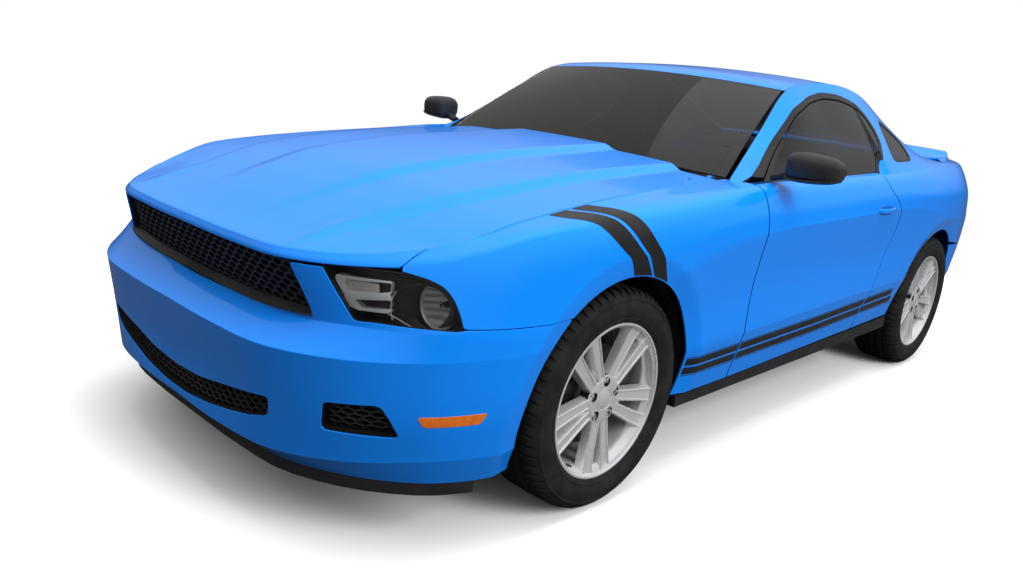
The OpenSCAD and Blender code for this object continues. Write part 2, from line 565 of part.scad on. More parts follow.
module right_knuckle() color(steel) mirror([0, 1, 0]) knuckle();

module rear_axle() color(dark) {
  translate([rear_x, -wheel_y + 60, wheel_z]) rotate([-90, 0, 0]) cylinder(r = 40, h = 2 * wheel_y - 120);
  translate([rear_x, -90, wheel_z]) rotate([-90, 0, 0]) cylinder(r = 125, h = 180);
  for (m = [0, 1]) mirror([0, m, 0]) {
    translate([rear_x, wheel_y - 70, wheel_z]) rotate([-90, 0, 0]) cylinder(r = 22, h = 114);
    translate([rear_x, 480 * sy, wheel_z]) cylinder(r = 55, h = Z(498) - wheel_z);
    box(-1290, -700, 520, 560, 300, 345);
    box(-740, -700, 520, 560, 300, 371.5);
  }
}
module exhaust() color(steel) {
  both() {
    translate([-1700 * sx, 300 * sy, Z(205) - 28 - seam]) rotate([0, 90, 0])
      cylinder(r = 28, h = 2800 * sx);
    box(-2120, -1690, 230, 560, 160, 390 - seam);
    translate([-2330 * sx, 410 * sy, Z(222)]) rotate([0, 90, 0]) cylinder(r = 34, h = 250 * sx);
  }
}

// tyre and rim are revolved about the wheel axis, with the outer side up
TYRE_OUT = [[0.07, 9.5], [0.33, 1], [0.44, 0], [0.71, 6], [0.88, 15], [0.96, 28], [1, 50]];
TYRE_IN = [[0.86, 57.5], [0.79, 26], [0.51, 14], [0.19, 25.5]];
module tyre_body() {
  r = tyre_d / 2;
  b = rim_d / 2;
  w = tyre_w / 2;
  h = r - b;
  half = concat([[b - 20 + seam, 78], [b - 20 + seam, 96 - seam], [b + seam, 96 - seam], [b + seam, 104]],
    [for (q = TYRE_OUT) [b + q[0] * h, w - q[1]]]);
  inner = [for (q = TYRE_IN) [b + q[0] * h, w - q[1]]];
  rotate_extrude($fn = 96) polygon(concat(half,
    [for (i = [len(half) - 1 : -1 : 0]) [half[i][0], -half[i][1]]],
    [for (i = [len(inner) - 1 : -1 : 0]) [inner[i][0], -inner[i][1]]], inner));
}
// rim section: depth below the flange radius, place along the axis
RIM = [[20, 78], [20, 96], [0, 96], [0, 104], [10, 104], [28, 96], [30, 70], [50, 50], [50, -60], [30, -80],
  [28, -98], [8, -104], [0, -104], [0, -96], [20, -96], [20, -78], [42, -54], [42, 44]];
module rim_body() {
  b = rim_d / 2;
  rotate_extrude($fn = 96) polygon([for (q = RIM) [b - q[0], q[1]]]);
  difference() {
    union() {
      translate([0, 0, 46]) cylinder(r = 76, h = 36);
      intersection() {
        translate([0, 0, 50]) cylinder(r = b - 24, h = 50, $fn = 96);
        for (k = [0 : spoke_pairs - 1]) rotate([0, 0, 90 + k * 360 / spoke_pairs]) for (m = [0, 1])
          mirror([0, m, 0]) translate([0, 0, 58]) linear_extrude(32)
            polygon([[50, 6], [50, 40], [b - 46, 62], [b - 20, 68], [b - 20, 34], [b - 46, 32], [110, 10]]);
      }
    }
    translate([0, 0, 74]) cylinder(r = 35, h = 20);
    for (k = [0 : 4]) rotate([0, 0, 126 + k * 72]) translate([57, 0, 66]) cylinder(r = 14, h = 30);
  }
  translate([0, 0, 70]) cylinder(r = 33, h = 14);
  for (k = [0 : 4]) rotate([0, 0, 126 + k * 72]) translate([57, 0, 60]) cylinder(r = 9, h = 20, $fn = 6);
}
module disc_body() difference() {
  union() {
    translate([0, 0, 6]) cylinder(r = 158, h = 22);
    translate([0, 0, 6]) cylinder(r = 74, h = 40 - seam);
  }
  translate([0, 0, -1]) cylinder(r = 22 + pin_gap, h = 46);
}
module at_wheel(x, m) mirror([0, m, 0]) translate([x, wheel_y, wheel_z]) rotate([-90, 0, 0]) children();
module front_left_tyre() color(black) at_wheel(front_x, 0) tyre_body();
module front_right_tyre() color(black) at_wheel(front_x, 1) tyre_body();
module rear_left_tyre() color(black) at_wheel(rear_x, 0) tyre_body();
module rear_right_tyre() color(black) at_wheel(rear_x, 1) tyre_body();
module front_left_rim() color(silver) at_wheel(front_x, 0) rim_body();
module front_right_rim() color(silver) at_wheel(front_x, 1) rim_body();
module rear_left_rim() color(silver) at_wheel(rear_x, 0) rim_body();
module rear_right_rim() color(silver) at_wheel(rear_x, 1) rim_body();
module front_left_disc() color(steel) at_wheel(front_x, 0) disc_body();
module front_right_disc() color(steel) at_wheel(front_x, 1) disc_body();
module rear_left_disc() color(steel) at_wheel(rear_x, 0) disc_body();
module rear_right_disc() color(steel) at_wheel(rear_x, 1) disc_body();

// six-sided cell of the meshes, wide and low
module cell(y, z, w)
  along([for (a = [0 : 60 : 300]) [y + w * cos(a), z + 0.52 * w * sin(a)]], 2100, 2500);
// black meshes behind the three openings of the nose
module grilles() color(black) {
  g = [for (i = [-8 : 8]) [for (v = [3.5, 4, 4.5, 4.93]) loft(i * 6.5 / 17, v)]];
  difference() {
    intersection() {
      slab(inward(g, skin + 2 * seam), inward(g, 30));
      along(shrunk(GRILLE, -14), 1500, 2600);
    }
    for (r = [0 : 3]) {
      z = 640 + 28 * r;
      m = floor((541 - 0.4 * (z - 622) - 50) / 54);
      for (c = [-m : m - r % 2]) cell((c + (r % 2) / 2) * 54, z, 24);
    }
  }
  k = [for (i = [-11 : 11]) [for (v = [0.5, 1, 1.5, 2, 2.5]) loft(i * 6.5 / 17, v)]];
  difference() {
    intersection() {
      slab(inward(k, skin + 2 * seam), inward(k, 24));
      union() {
        along(shrunk(LOW_OUTLINE, -12), 2200, 2600);
        both() along(shrunk(DUCT, -12), 2000, 2500);
      }
    }
    for (r = [0, 1]) for (c = [-8 : 8 - r]) {
      y = (c + r / 2) * 50;
      cell(y, 292 + 26 * r + 70 * pow(y / 480, 2), 20);
    }
  }
}
// place of the round lamp, and the boxed lamps as u, v limits on the body surface
LAMP_EYE = [2060, 752, 683];
eye_r = 60;
LAMP_BOXES = [[2.83, 3.44, 4.57, 4.74], [2.98, 3.46, 4.31, 4.45]];
// a clear cover, and behind it a housing with a round bowl and two boxes
module headlamps() color(silver) both() {
  g = [for (i = [0 : 10]) [for (v = [3.85, 4.2, 4.6, 4.93]) loft(2.3 + i * 0.26, v)]];
  intersection() {
    slab(inward(g, 3), inward(g, 7));
    lamp_prism(seam);
  }
  difference() {
    intersection() {
      slab(inward(g, 7 + seam), inward(g, 130));
      lamp_prism(seam);
    }
    translate(S(LAMP_EYE)) rotate([0, 90, 5]) rotate_extrude()
      polygon([[0, -52], [24, -52], [48, -30], [eye_r, 0], [eye_r, 260 * sx], [0, 260 * sx]]);
    for (b = LAMP_BOXES) {
      k = [for (u = [b[0], mixed(b[0], b[1], 0.5), b[1]]) [for (v = [b[2], b[3]]) loft(u, v)]];
      slab(inward(k, 4), inward(k, 45));
    }
  }
}
module side_markers() color([0.9, 0.35, 0.02]) both() {
  g = [for (i = [0 : 6]) [for (v = [1.87, 2, 2.06]) loft(3.96 + i * 0.18, v)]];
  slab(inward(g, -5), inward(g, -0.8));
}
module air_dam() color(black)
  sheet([for (i = [-14 : 14]) let (p = loft(i * 5.2 / 14, 0)) [for (z = [36.4, 0.4])
    p - [p[0] * 0.001, p[1] * 0.001, z]]], 5);

module seat() {
  across([[60, 300], [480, 330], [500, 420], [440, 450], [40, 400]], -225, 225);
  across([[40, 400 + seam], [150, 414.1], [-60, 900], [-150, 890], [-90, 640]], -225, 225);
  across([[-72, 899.2], [-148, 890.8], [-200, 1060], [-130, 1075]], -130, 130);
  box(80, 400, -200, 200, 215.3, 305);
}
module front_seats() color(dark) both() translate([0, 370 * sy, 0]) seat();
module rear_seat() color(dark) {
  both() across([[-450, 336], [-480, 500], [-850, 470], [-790, 416.6], [-566, 332.7]], 142, 600);
  across([[-760, 477.7], [-850, 470.5], [-880, 470], [-1092, 1004], [-1064, 1000.2]], -600, 600);
}
DASH = [[860, 720], [860, 895], [800, 939.6], [718, 939.6], [690, 950], [560, 920], [520, 850], [560, 700]];
module dashboard() color(dark) across(DASH, -715, 715);
module steering_wheel() color(dark) difference() {
  translate(S([385, 370, 870])) rotate([0, 115, 0]) {
    rotate_extrude($fn = 64) translate([180, 0]) circle(r = 15, $fn = 16);
    cylinder(r = 55, h = 30);
    for (a = [60, 180, 300]) rotate([0, 0, a]) translate([30, -14, 4]) cube([145, 28, 12]);
    cylinder(r = 28, h = 230 * sx);
  }
  across(shrunk(DASH, -seam), -720, 720);
}

front_bumper();
front_fenders();
left_door();
right_door();
hinge_pillars();
side_frames();
roof();
windshield();
hood();
hood_hinges();
cowl();
quarter_panels();
rear_bumper();
tail_panel();
tail_lamps();
decklid();
rear_shelf();
rear_window();
quarter_windows();
left_door_glass();
right_door_glass();
left_mirror();
right_mirror();
floor_pan();
rocker_mouldings();
wheel_liners();
engine();
driveshaft();
front_frame();
front_suspension();
left_knuckle();
right_knuckle();
rear_axle();
exhaust();
front_left_tyre();
front_right_tyre();
rear_left_tyre();
rear_right_tyre();
front_left_rim();
front_right_rim();
rear_left_rim();
rear_right_rim();
front_left_disc();
front_right_disc();
rear_left_disc();
rear_right_disc();
grilles();
headlamps();
side_markers();
air_dam();
front_seats();
rear_seat();
dashboard();
steering_wheel();
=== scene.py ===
import math
import bpy
import numpy as np
from mathutils import Matrix, Vector


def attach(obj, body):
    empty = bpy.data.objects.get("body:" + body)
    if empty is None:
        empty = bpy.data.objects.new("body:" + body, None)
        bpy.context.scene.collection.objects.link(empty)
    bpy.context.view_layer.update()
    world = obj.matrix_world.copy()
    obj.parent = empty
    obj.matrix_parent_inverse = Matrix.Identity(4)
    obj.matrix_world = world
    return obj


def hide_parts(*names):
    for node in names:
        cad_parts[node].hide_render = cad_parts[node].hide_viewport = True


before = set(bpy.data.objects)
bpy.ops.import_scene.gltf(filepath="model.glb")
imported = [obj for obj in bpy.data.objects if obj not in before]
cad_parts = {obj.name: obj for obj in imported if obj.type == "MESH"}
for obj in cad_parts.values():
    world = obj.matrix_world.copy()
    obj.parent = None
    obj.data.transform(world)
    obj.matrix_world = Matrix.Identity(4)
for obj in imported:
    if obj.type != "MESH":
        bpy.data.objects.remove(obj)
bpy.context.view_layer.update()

# Sizes of the solids that the pieces follow, in millimetres
SHUT = 8.0  # gap round moving panels
TIGHT = 1.5  # reach of a skin into that gap
SEAM = 2.5  # half of the seam between fixed panels
ARCH_R = 395.0
WHEEL_Z = 350.0
FRONT_X, REAR_X = 1439.0, -1281.0
WHEEL_Y = 786.0
SPLIT_Z, TAIL_Z = 651.0, 640.0  # seams of the nose and tail covers

# Sides of the car with their signs in y
SIDES = (("left", 1), ("right", -1))
MIRROR = np.array([1, -1, 1.0])

# Body surface: x, y of the plan outline, then inset and height of seven rings, nose to tail
ST = np.array([
    [2389, 0, 85, 212, 30, 252, 30, 385, 0, 545, 98, 603, 52, 757, 62, 782],
    [2387, 250, 85, 212, 30, 252, 30, 385, 0, 545, 98, 603, 52, 758, 62, 783],
    [2366, 480, 90, 210, 42, 254, 26, 388, 0, 548, 92, 608, 52, 763, 66, 788],
    [2268, 676, 90, 208, 44, 268, 18, 396, 0, 556, 55, 626, 72, 772, 95, 800],
    [2120, 820, 82, 206, 40, 286, 12, 408, 0, 566, 16, 636, 70, 792, 112, 830],
    [1975, 892, 75, 206, 34, 292, 10, 420, 0, 575, 8, 650, 62, 832, 125, 862],
    [1829, 922, 68, 210, 30, 294, 8, 430, 0, 580, 6, 655, 55, 868, 145, 890],
    [1439, 936, 60, 240, 26, 340, 8, 480, 0, 650, 10, 800, 50, 912, 168, 942],
    [1049, 937, 58, 282, 20, 450, 20, 600, 4, 790, 12, 872, 52, 950, 184, 972],
    [705, 937, 58, 290, 20, 470, 22, 640, 0, 838, 16, 915, 60, 985, 200, 992],
    [100, 938, 58, 308, 20, 492, 24, 660, 0, 860, 18, 936, 64, 1006, 200, 1012],
    [-560, 938, 58, 326, 20, 512, 22, 680, 0, 880, 16, 956, 72, 1030, 200, 1036],
    [-896, 938, 58, 336, 20, 520, 14, 690, 0, 868, 12, 950, 84, 1045, 210, 1052],
    [-1281, 932, 55, 340, 16, 520, 4, 680, 0, 820, 20, 955, 112, 1060, 235, 1076],
    [-1666, 898, 58, 320, 20, 480, 4, 650, 0, 790, 22, 945, 110, 1062, 232, 1082],
    [-1990, 820, 62, 295, 24, 440, 4, 625, 0, 765, 28, 932, 92, 1056, 190, 1080],
    [-2215, 722, 70, 280, 30, 415, 0, 605, 8, 742, 36, 920, 72, 1050, 140, 1080],
    [-2330, 580, 80, 272, 36, 405, 0, 592, 14, 722, 42, 905, 56, 1045, 106, 1082],
    [-2376, 340, 85, 268, 40, 398, 0, 585, 18, 706, 48, 890, 46, 1042, 96, 1088],
    [-2389, 0, 85, 265, 40, 395, 0, 582, 20, 700, 50, 880, 42, 1040, 92, 1092]], float)
LAST = 19


def ease(f):
    g = np.clip(f, 0, 1)
    return g * g * (3 - 2 * g)


def mix(a, b, f):
    return a + (b - a) * f


def run(P):
    return np.concatenate([[0], np.cumsum(np.linalg.norm(np.diff(P, axis=0), axis=1))])


def cubic(p, q, a, b, f):
    """Cubic from p to q with the end slopes a and b."""
    return (p * (2 * f**3 - 3 * f**2 + 1) + a * (f**3 - 2 * f**2 + f)
            + q * (3 * f**2 - 2 * f**3) + b * (f**3 - f**2))


def hermite(P, T, u):
    """Smooth curve through the rows of P at lengths T, at index u."""
    n = len(P)
    i = np.clip(np.floor(u).astype(int), 0, n - 2)
    f = (u - i)[:, None]
    h = (T[i + 1] - T[i])[:, None]
    d = (P[i + 1] - P[i]) / h
    lo, hi = np.maximum(i - 1, 0), np.minimum(i + 2, n - 1)
    a = np.where((i == 0)[:, None], d, (P[i + 1] - P[lo]) / (T[i + 1] - T[lo])[:, None])
    b = np.where((i == n - 2)[:, None], d, (P[hi] - P[i]) / (T[hi] - T[i])[:, None])
    return cubic(P[i], P[i + 1], a * h, b * h, f)


FLIP = np.array([1, -1] + [1] * 14, float)
LOFT_P = np.vstack([ST[1] * FLIP, ST, ST[LAST - 1] * FLIP])
LOFT_T = run(LOFT_P[:, :2])


def station(u):
    return hermite(LOFT_P, LOFT_T, u + 1)


def rings(q, v, hard):
    """Point of the section q (N,7,2) at ring index v; hard (N,7) marks folds."""
    N = len(v)
    k = np.arange(N)
    spans = np.linalg.norm(np.diff(q, axis=1), axis=2)
    T = np.concatenate([np.zeros((N, 1)), np.cumsum(spans, axis=1)], 1)
    i = np.clip(np.floor(v).astype(int), 0, 5)
    f = (v - i)[:, None]
    h = (T[k, i + 1] - T[k, i])[:, None]
    d = (q[k, i + 1] - q[k, i]) / h
    lo, hi = np.maximum(i - 1, 0), np.minimum(i + 2, 6)
    a = (q[k, i + 1] - q[k, lo]) / (T[k, i + 1] - T[k, lo])[:, None]
    b = (q[k, hi] - q[k, i]) / (T[k, hi] - T[k, i])[:, None]
    wa, wb = hard[k, i][:, None], hard[k, i + 1][:, None]
    a = np.where((i == 0)[:, None], d, mix(a, d, wa))
    b = np.where((i == 5)[:, None], d, mix(b, d, wb))
    return cubic(q[k, i], q[k, i + 1], a * h, b * h, f)


def loft(u, v):
    """Body surface: u runs round the plan from the nose, v up from hem to top."""
    u, v = np.broadcast_arrays(np.asarray(u, float), np.asarray(v, float))
    shape = u.shape
    u, v = u.ravel(), v.ravel()
    w = np.where(np.abs(u) > LAST, 2 * LAST - np.abs(u), np.abs(u))
    s = np.where((u < 0) != (np.abs(u) > LAST), -1.0, 1.0)
    r = station(w)
    d = (station(w + 0.01) - station(w - 0.01))[:, :2]
    n = np.stack([d[:, 1], -d[:, 0]], 1)
    n /= np.linalg.norm(n, axis=1)[:, None]
    hard = np.tile(np.array([0, 1, 0, 1, 0, 0, 0], float), (len(u), 1))
    hard[:, 4] = 1 - ease((w - 3.9) / 1.2)
    c = rings(r[:, 2:].reshape(-1, 7, 2), v, hard)
    P = np.stack([r[:, 0] - n[:, 0] * c[:, 0], s * (r[:, 1] - n[:, 1] * c[:, 0]), c[:, 1]], 1)
    return P.reshape(shape + (3,))


SIDE_U = np.linspace(5, 17, 600)
SIDE_X = station(SIDE_U)[:, 0]


def u_at(x):
    """Index u along the sides of the car at x."""
    return np.interp(-np.asarray(x, float), -SIDE_X, SIDE_U)


def even(u0, u1, step, v=3.0):
    """Values of u from u0 to u1 with even spacing along ring v."""
    us = np.linspace(u0, u1, 400)
    t = run(loft(us, np.full(400, v)))
    n = max(2, int(round(t[-1] / step)))
    return np.interp(np.linspace(0, t[-1], n + 1), t, us)


def steps(*knots):
    """Values through knots (value, count) so that every knot is one of them."""
    out = [knots[0][0]]
    for (a, n), (b, _) in zip(knots[:-1], knots[1:]):
        out += list(np.linspace(a, b, n + 1)[1:])
    return np.array(out)


# Outlines
def fillet(poly, r, k=5):
    """Closed outline with its corners rounded."""
    P = np.array(poly, float)
    n = len(P)
    out = []
    for i in range(n):
        a, b, c = P[i - 1], P[i], P[(i + 1) % n]
        la, lc = np.linalg.norm(a - b), np.linalg.norm(c - b)
        ra = min(r, 0.48 * la)
        rc = min(r, 0.48 * lc)
        p, q = b + (a - b) * ra / la, b + (c - b) * rc / lc
        for f in np.linspace(0, 1, k):
            out.append((1 - f) ** 2 * p + 2 * f * (1 - f) * b + f * f * q)
    return np.array(out)


def sdf(Q, poly):
    """Distance to a closed outline, negative inside."""
    Q = np.asarray(Q, float)
    A = np.asarray(poly, float)
    B = np.roll(A, -1, axis=0)
    best = np.full(len(Q), 1e18)
    inside = np.zeros(len(Q), bool)
    for a, b in zip(A, B):
        e = b - a
        L = e @ e
        if L < 1e-12:
            continue
        w = Q - a
        t = np.clip((w @ e) / L, 0, 1)
        d = w - t[:, None] * e
        best = np.minimum(best, (d * d).sum(1))
        c = (a[1] <= Q[:, 1]) != (b[1] <= Q[:, 1])
        with np.errstate(divide="ignore", invalid="ignore"):
            x = a[0] + (Q[:, 1] - a[1]) / (b[1] - a[1]) * e[0]
        inside ^= c & (Q[:, 0] < x)
    return np.where(inside, -1, 1) * np.sqrt(best)


# Panels: grids that are trimmed by fields and closed to solids
class Patch:
    def __init__(self, P, N, polys):
        self.P, self.N, self.polys = P, N, polys

    def mirrored(self):
        return Patch(self.P * MIRROR, self.N * MIRROR, [p[::-1] for p in self.polys])

    def on(self, sign):
        """The patch itself on the left, or its mirror image on the right."""
        return self if sign > 0 else self.mirrored()

    def border(self):
        """Edges with a face on one side only, and the outward direction at their points."""
        seen = dict.fromkeys((p[i], p[(i + 1) % len(p)]) for p in self.polys for i in range(len(p)))
        edges = [e for e in seen if (e[1], e[0]) not in seen]
        out = np.zeros_like(self.P)
        for a, b in edges:
            o = np.cross(self.P[b] - self.P[a], self.N[a] + self.N[b])
            o = o / max(np.linalg.norm(o), 1e-9)
            out[a] += o
            out[b] += o
        L = np.linalg.norm(out, axis=1)
        out[L > 0] /= L[L > 0][:, None]
        return edges, out

    def trim(self, s):
        """Keeps the part where the field s is positive; s is a value for each point."""
        s = np.where(np.abs(s) < 0.05, 0.05, s)
        P, N = list(self.P), list(self.N)
        cut, polys = {}, []

        def edge(a, b):
            k = (a, b) if a < b else (b, a)
            if k not in cut:
                f = s[k[0]] / (s[k[0]] - s[k[1]])
                f = min(max(f, 0.02), 0.98)
                cut[k] = len(P)
                P.append(self.P[k[0]] * (1 - f) + self.P[k[1]] * f)
                N.append(self.N[k[0]] * (1 - f) + self.N[k[1]] * f)
            return cut[k]

        for p in self.polys:
            inn = [s[i] > 0 for i in p]
            if all(inn):
                polys.append(p)
            elif any(inn):
                q = []
                for i in range(len(p)):
                    a, b = p[i], p[(i + 1) % len(p)]
                    if inn[i]:
                        q.append(a)
                    if inn[i] != inn[(i + 1) % len(p)]:
                        q.append(edge(a, b))
                if len(q) > 2:
                    polys.append(q)
        P, N = np.array(P), np.array(N)
        N /= np.linalg.norm(N, axis=1)[:, None]
        used = np.unique(np.concatenate([np.array(p) for p in polys]))
        new = -np.ones(len(P), int)
        new[used] = np.arange(len(used))
        return Patch(P[used], N[used], [[int(new[i]) for i in p] for p in polys])

    def moved(self, t):
        """The same patch moved along its normals."""
        return Patch(self.P + self.N * t, self.N, self.polys)


def patch(F, A, B):
    """Patch of the surface F over the values A (to the viewer's right) and B (up)."""
    a, b = np.meshgrid(np.asarray(A, float), np.asarray(B, float), indexing="ij")
    g = F(a, b)
    n, m = a.shape
    du, dv = np.gradient(g, axis=0), np.gradient(g, axis=1)
    N = np.cross(du, dv).reshape(-1, 3)
    N /= np.maximum(np.linalg.norm(N, axis=1), 1e-9)[:, None]
    polys = [[i * m + j, (i + 1) * m + j, (i + 1) * m + j + 1, i * m + j + 1]
             for i in range(n - 1) for j in range(m - 1)]
    return Patch(g.reshape(-1, 3), N, polys)


def facing(q):
    """Normal of a polygon, twice its area long."""
    c = np.zeros(3)
    for i in range(1, len(q) - 1):
        c = c + np.cross(q[i] - q[0], q[i + 1] - q[0])
    return c


class Soup:
    """Points, faces and corner normals gathered for one mesh, with a material index for each face."""

    def __init__(self):
        self.P, self.faces, self.norms, self.mats = [], [], [], []
        self.n = 0

    def add(self, P, faces, norms=None, mat=0):
        """norms: a list of corner normals for each face, or None for flat shading."""
        P = np.asarray(P, float)
        self.P.append(P)
        for k, f in enumerate(faces):
            self.faces.append([int(i) + self.n for i in f])
            if norms is None:
                c = facing(P[list(f)])
                c = c / max(np.linalg.norm(c), 1e-12)
                self.norms.append([c] * len(f))
            else:
                self.norms.append(norms[k])
            self.mats.append(mat)
        self.n += len(P)

    def solid(self, q, mat=0, angle=32.0, sign=1):
        """Solid q of points and faces, or its mirror image where sign is negative."""
        P, faces = q if sign > 0 else flipped(*q)
        self.add(P, faces, smooth_norms(P, faces, angle), mat)

    def shell(self, pt, t=6.0, c=1.5, mat=0, rim=None, back=None):
        """Closed sheet t thick under a patch, with its outer edge rounded by c."""
        P, N, polys = pt.P, pt.N, pt.polys
        rim = mat if rim is None else rim
        back = mat if back is None else back
        border, out = pt.border()
        n = len(P)
        r1 = P + out * c - N * c
        r2 = P + out * c - N * t
        self.add(np.vstack([P, P - N * t]), polys, [[N[i] for i in p] for p in polys], mat)
        base = self.n - 2 * n
        for p in polys:
            self.faces.append([base + n + i for i in p[::-1]])
            self.norms.append([-N[i] for i in p[::-1]])
            self.mats.append(back)
        ids = sorted({i for e in border for i in e})
        k = {i: j for j, i in enumerate(ids)}
        m = len(ids)
        self.P.append(np.vstack([r1[ids], r2[ids]]))
        b0 = self.n
        for a, b in border:
            A, B = b0 + k[a], b0 + k[b]
            self.faces += [[base + b, base + a, A, B], [B, A, A + m, B + m],
                           [B + m, A + m, base + n + a, base + n + b]]
            oa, ob, na, nb = out[a], out[b], N[a], N[b]
            self.norms += [[nb, na, oa, ob], [ob, oa, oa, ob], [-nb, -na, -na, -nb]]
            self.mats += [rim, rim, rim]
        self.n += 2 * m

    def object(self, name, mats, body, slot, replaces=()):
        """Mesh object with the materials named in mats, on a body, with its replaced nodes; slot is not used.
        """
        me = bpy.data.meshes.new(name)
        P = np.vstack(self.P) / 1000.0
        me.from_pydata(P.tolist(), [], self.faces)
        for m in mats.split():
            me.materials.append(M[m])
        me.polygons.foreach_set("material_index", np.array(self.mats, np.int32))
        me.polygons.foreach_set("use_smooth", np.ones(len(self.faces), bool))
        N = np.array([n for f in self.norms for n in f], float)
        N /= np.maximum(np.linalg.norm(N, axis=1), 1e-9)[:, None]
        me.update()
        me.normals_split_custom_set(N.tolist())
        ob = bpy.data.objects.new(name, me)
        bpy.context.scene.collection.objects.link(ob)
        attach(ob, body)
        if replaces:
            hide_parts(*replaces)
        return ob


def smooth_norms(P, faces, angle=35.0):
    """Corner normals: faces share a normal at a point where they meet within the angle."""
    P = np.asarray(P, float)
    fn, ar = [], []
    for f in faces:
        c = facing(P[list(f)])
        L = np.linalg.norm(c)
        ar.append(L)
        fn.append(c / max(L, 1e-12))
    fn = np.array(fn)
    at = {}
    for k, f in enumerate(faces):
        for i in f:
            at.setdefault(i, []).append(k)
    lim = math.cos(math.radians(angle))
    out = []
    for k, f in enumerate(faces):
        row = []
        for i in f:
            s = np.zeros(3)
            for j in at[i]:
                if fn[j] @ fn[k] > lim:
                    s = s + fn[j] * ar[j]
            L = np.linalg.norm(s)
            row.append(s / L if L > 1e-12 else fn[k])
        out.append(row)
    return out


# Solids
def turned(prof, n):
    """Closed outline of (r, z) turned about Z; points on the axis become poles."""
    prof = np.array(prof, float)
    m = len(prof)
    q = np.roll(prof, -1, axis=0)
    area = (prof[:, 0] * q[:, 1] - q[:, 0] * prof[:, 1]).sum()
    a = np.linspace(0, 2 * math.pi, n, endpoint=False)
    P, idx = [], np.zeros((n, m), int)
    for j, (r, z) in enumerate(prof):
        if r < 1e-6:
            idx[:, j] = len(P)
            P.append((0, 0, z))
        else:
            idx[:, j] = len(P) + np.arange(n)
            P += [(r * math.cos(t), r * math.sin(t), z) for t in a]
    faces = []
    for j in range(m):
        k = (j + 1) % m
        if prof[j, 0] < 1e-6 and prof[k, 0] < 1e-6:
            continue
        for i in range(n):
            h = (i + 1) % n
            f = list(dict.fromkeys([idx[i, j], idx[i, k], idx[h, k], idx[h, j]]))
            faces.append(f[::-1] if area > 0 else f)
    return np.array(P), faces


def volume(P, faces):
    v = 0.0
    for f in faces:
        for i in range(1, len(f) - 1):
            v += P[f[0]] @ np.cross(P[f[i]], P[f[i + 1]])
    return v


def rows_solid(rows):
    """Closed solid through like closed sections, capped at both ends."""
    rows = np.asarray(rows, float)
    n, m = rows.shape[:2]
    P = rows.reshape(-1, 3)
    faces = [[i * m + j, i * m + (j + 1) % m, (i + 1) * m + (j + 1) % m, (i + 1) * m + j]
             for i in range(n - 1) for j in range(m)]
    faces += [list(range(m))[::-1], [(n - 1) * m + j for j in range(m)]]
    if volume(P - P.mean(0), faces) < 0:
        faces = [f[::-1] for f in faces]
    return P, faces


class Piece:
    """Mesh with corner normals that can be placed several times."""

    def __init__(self, P, faces, angle=32.0, norms=None):
        self.P, self.faces = np.asarray(P, float), faces
        self.norms = norms or smooth_norms(self.P, faces, angle)

    def put(self, s, A, t, mat=0):
        """Adds the mesh to the soup s, turned by A and moved by t."""
        flip = np.linalg.det(A) < 0
        faces = [f[::-1] for f in self.faces] if flip else self.faces
        norms = [[A @ v for v in (n[::-1] if flip else n)] for n in self.norms]
        s.add(self.P @ A.T + t, faces, norms, mat)


def pipe(path, r, k=8):
    """Closed round bar along a path."""
    path = np.asarray(path, float)
    d = np.gradient(path, axis=0)
    d /= np.linalg.norm(d, axis=1)[:, None]
    ref = np.array([0.13, 0.21, 0.97])
    rows = []
    for p, t in zip(path, d):
        a = np.cross(t, ref)
        a /= np.linalg.norm(a)
        b = np.cross(t, a)
        turns = np.linspace(0, 2 * math.pi, k, endpoint=False)
        rows.append([p + r * (math.cos(q) * a + math.sin(q) * b) for q in turns])
    return rows_solid(rows)


def flipped(P, faces):
    return P * MIRROR, [f[::-1] for f in faces]


def placed(q, A, t):
    """Solid q turned by A and moved by t."""
    return q[0] @ A.T + t, q[1]


def pair(s, q, mat=0):
    """A solid and its mirror image on the other side."""
    for _, sign in SIDES:
        s.solid(q, mat, sign=sign)


# Turn that lays the axis of a turned solid across the car
ACROSS = np.array([[1, 0, 0], [0, 0, 1], [0, -1, 0]], float)


def lid_arms(s, pin, xs, y0, y1):
    """Hinge arms of a lid: a bar with a bored eye round the pin, on both sides."""
    x0, x1 = xs
    z0, z1 = pin[1] - 16.5, pin[1] + 3.5
    g = 1 if x1 > x0 else -1
    sec = [(y0 + 2, z0), (y1 - 2, z0), (y1, z0 + 2), (y1, z1 - 2),
           (y1 - 2, z1), (y0 + 2, z1), (y0, z1 - 2), (y0, z0 + 2)]
    pair(s, rows_solid([[(x, a, b) for a, b in sec] for x in (x0 + 9.5 * g, x1 - 2 * g, x1)]))
    eye = turned([(8.2, y0), (11, y0), (12, y0 + 1), (12, y1 - 1), (11, y1), (8.2, y1)], 40)
    pair(s, placed(eye, ACROSS, [pin[0], 0, pin[1]]))


# Materials
def base(name, color, rough=0.5, metal=0.0, **sockets):
    m = bpy.data.materials.new(name)
    m.use_nodes = True
    p = m.node_tree.nodes["Principled BSDF"]
    p.inputs["Base Color"].default_value = (*color, 1)
    p.inputs["Roughness"].default_value = rough
    p.inputs["Metallic"].default_value = metal
    for k, v in sockets.items():
        p.inputs[k.replace("_", " ")].default_value = v
    return m, m.node_tree, p


def texture(nt, kind, **sockets):
    """Texture node of a kind, laid out in the object's own space."""
    n = nt.nodes.new("ShaderNodeTex" + kind)
    for k, v in sockets.items():
        n.inputs[k].default_value = v
    tc = nt.nodes.new("ShaderNodeTexCoord")
    nt.links.new(tc.outputs["Object"], n.inputs["Vector"])
    return n


def noise(nt, scale, detail=3.0):
    return texture(nt, "Noise", Scale=scale, Detail=detail, Roughness=0.5).outputs["Fac"]


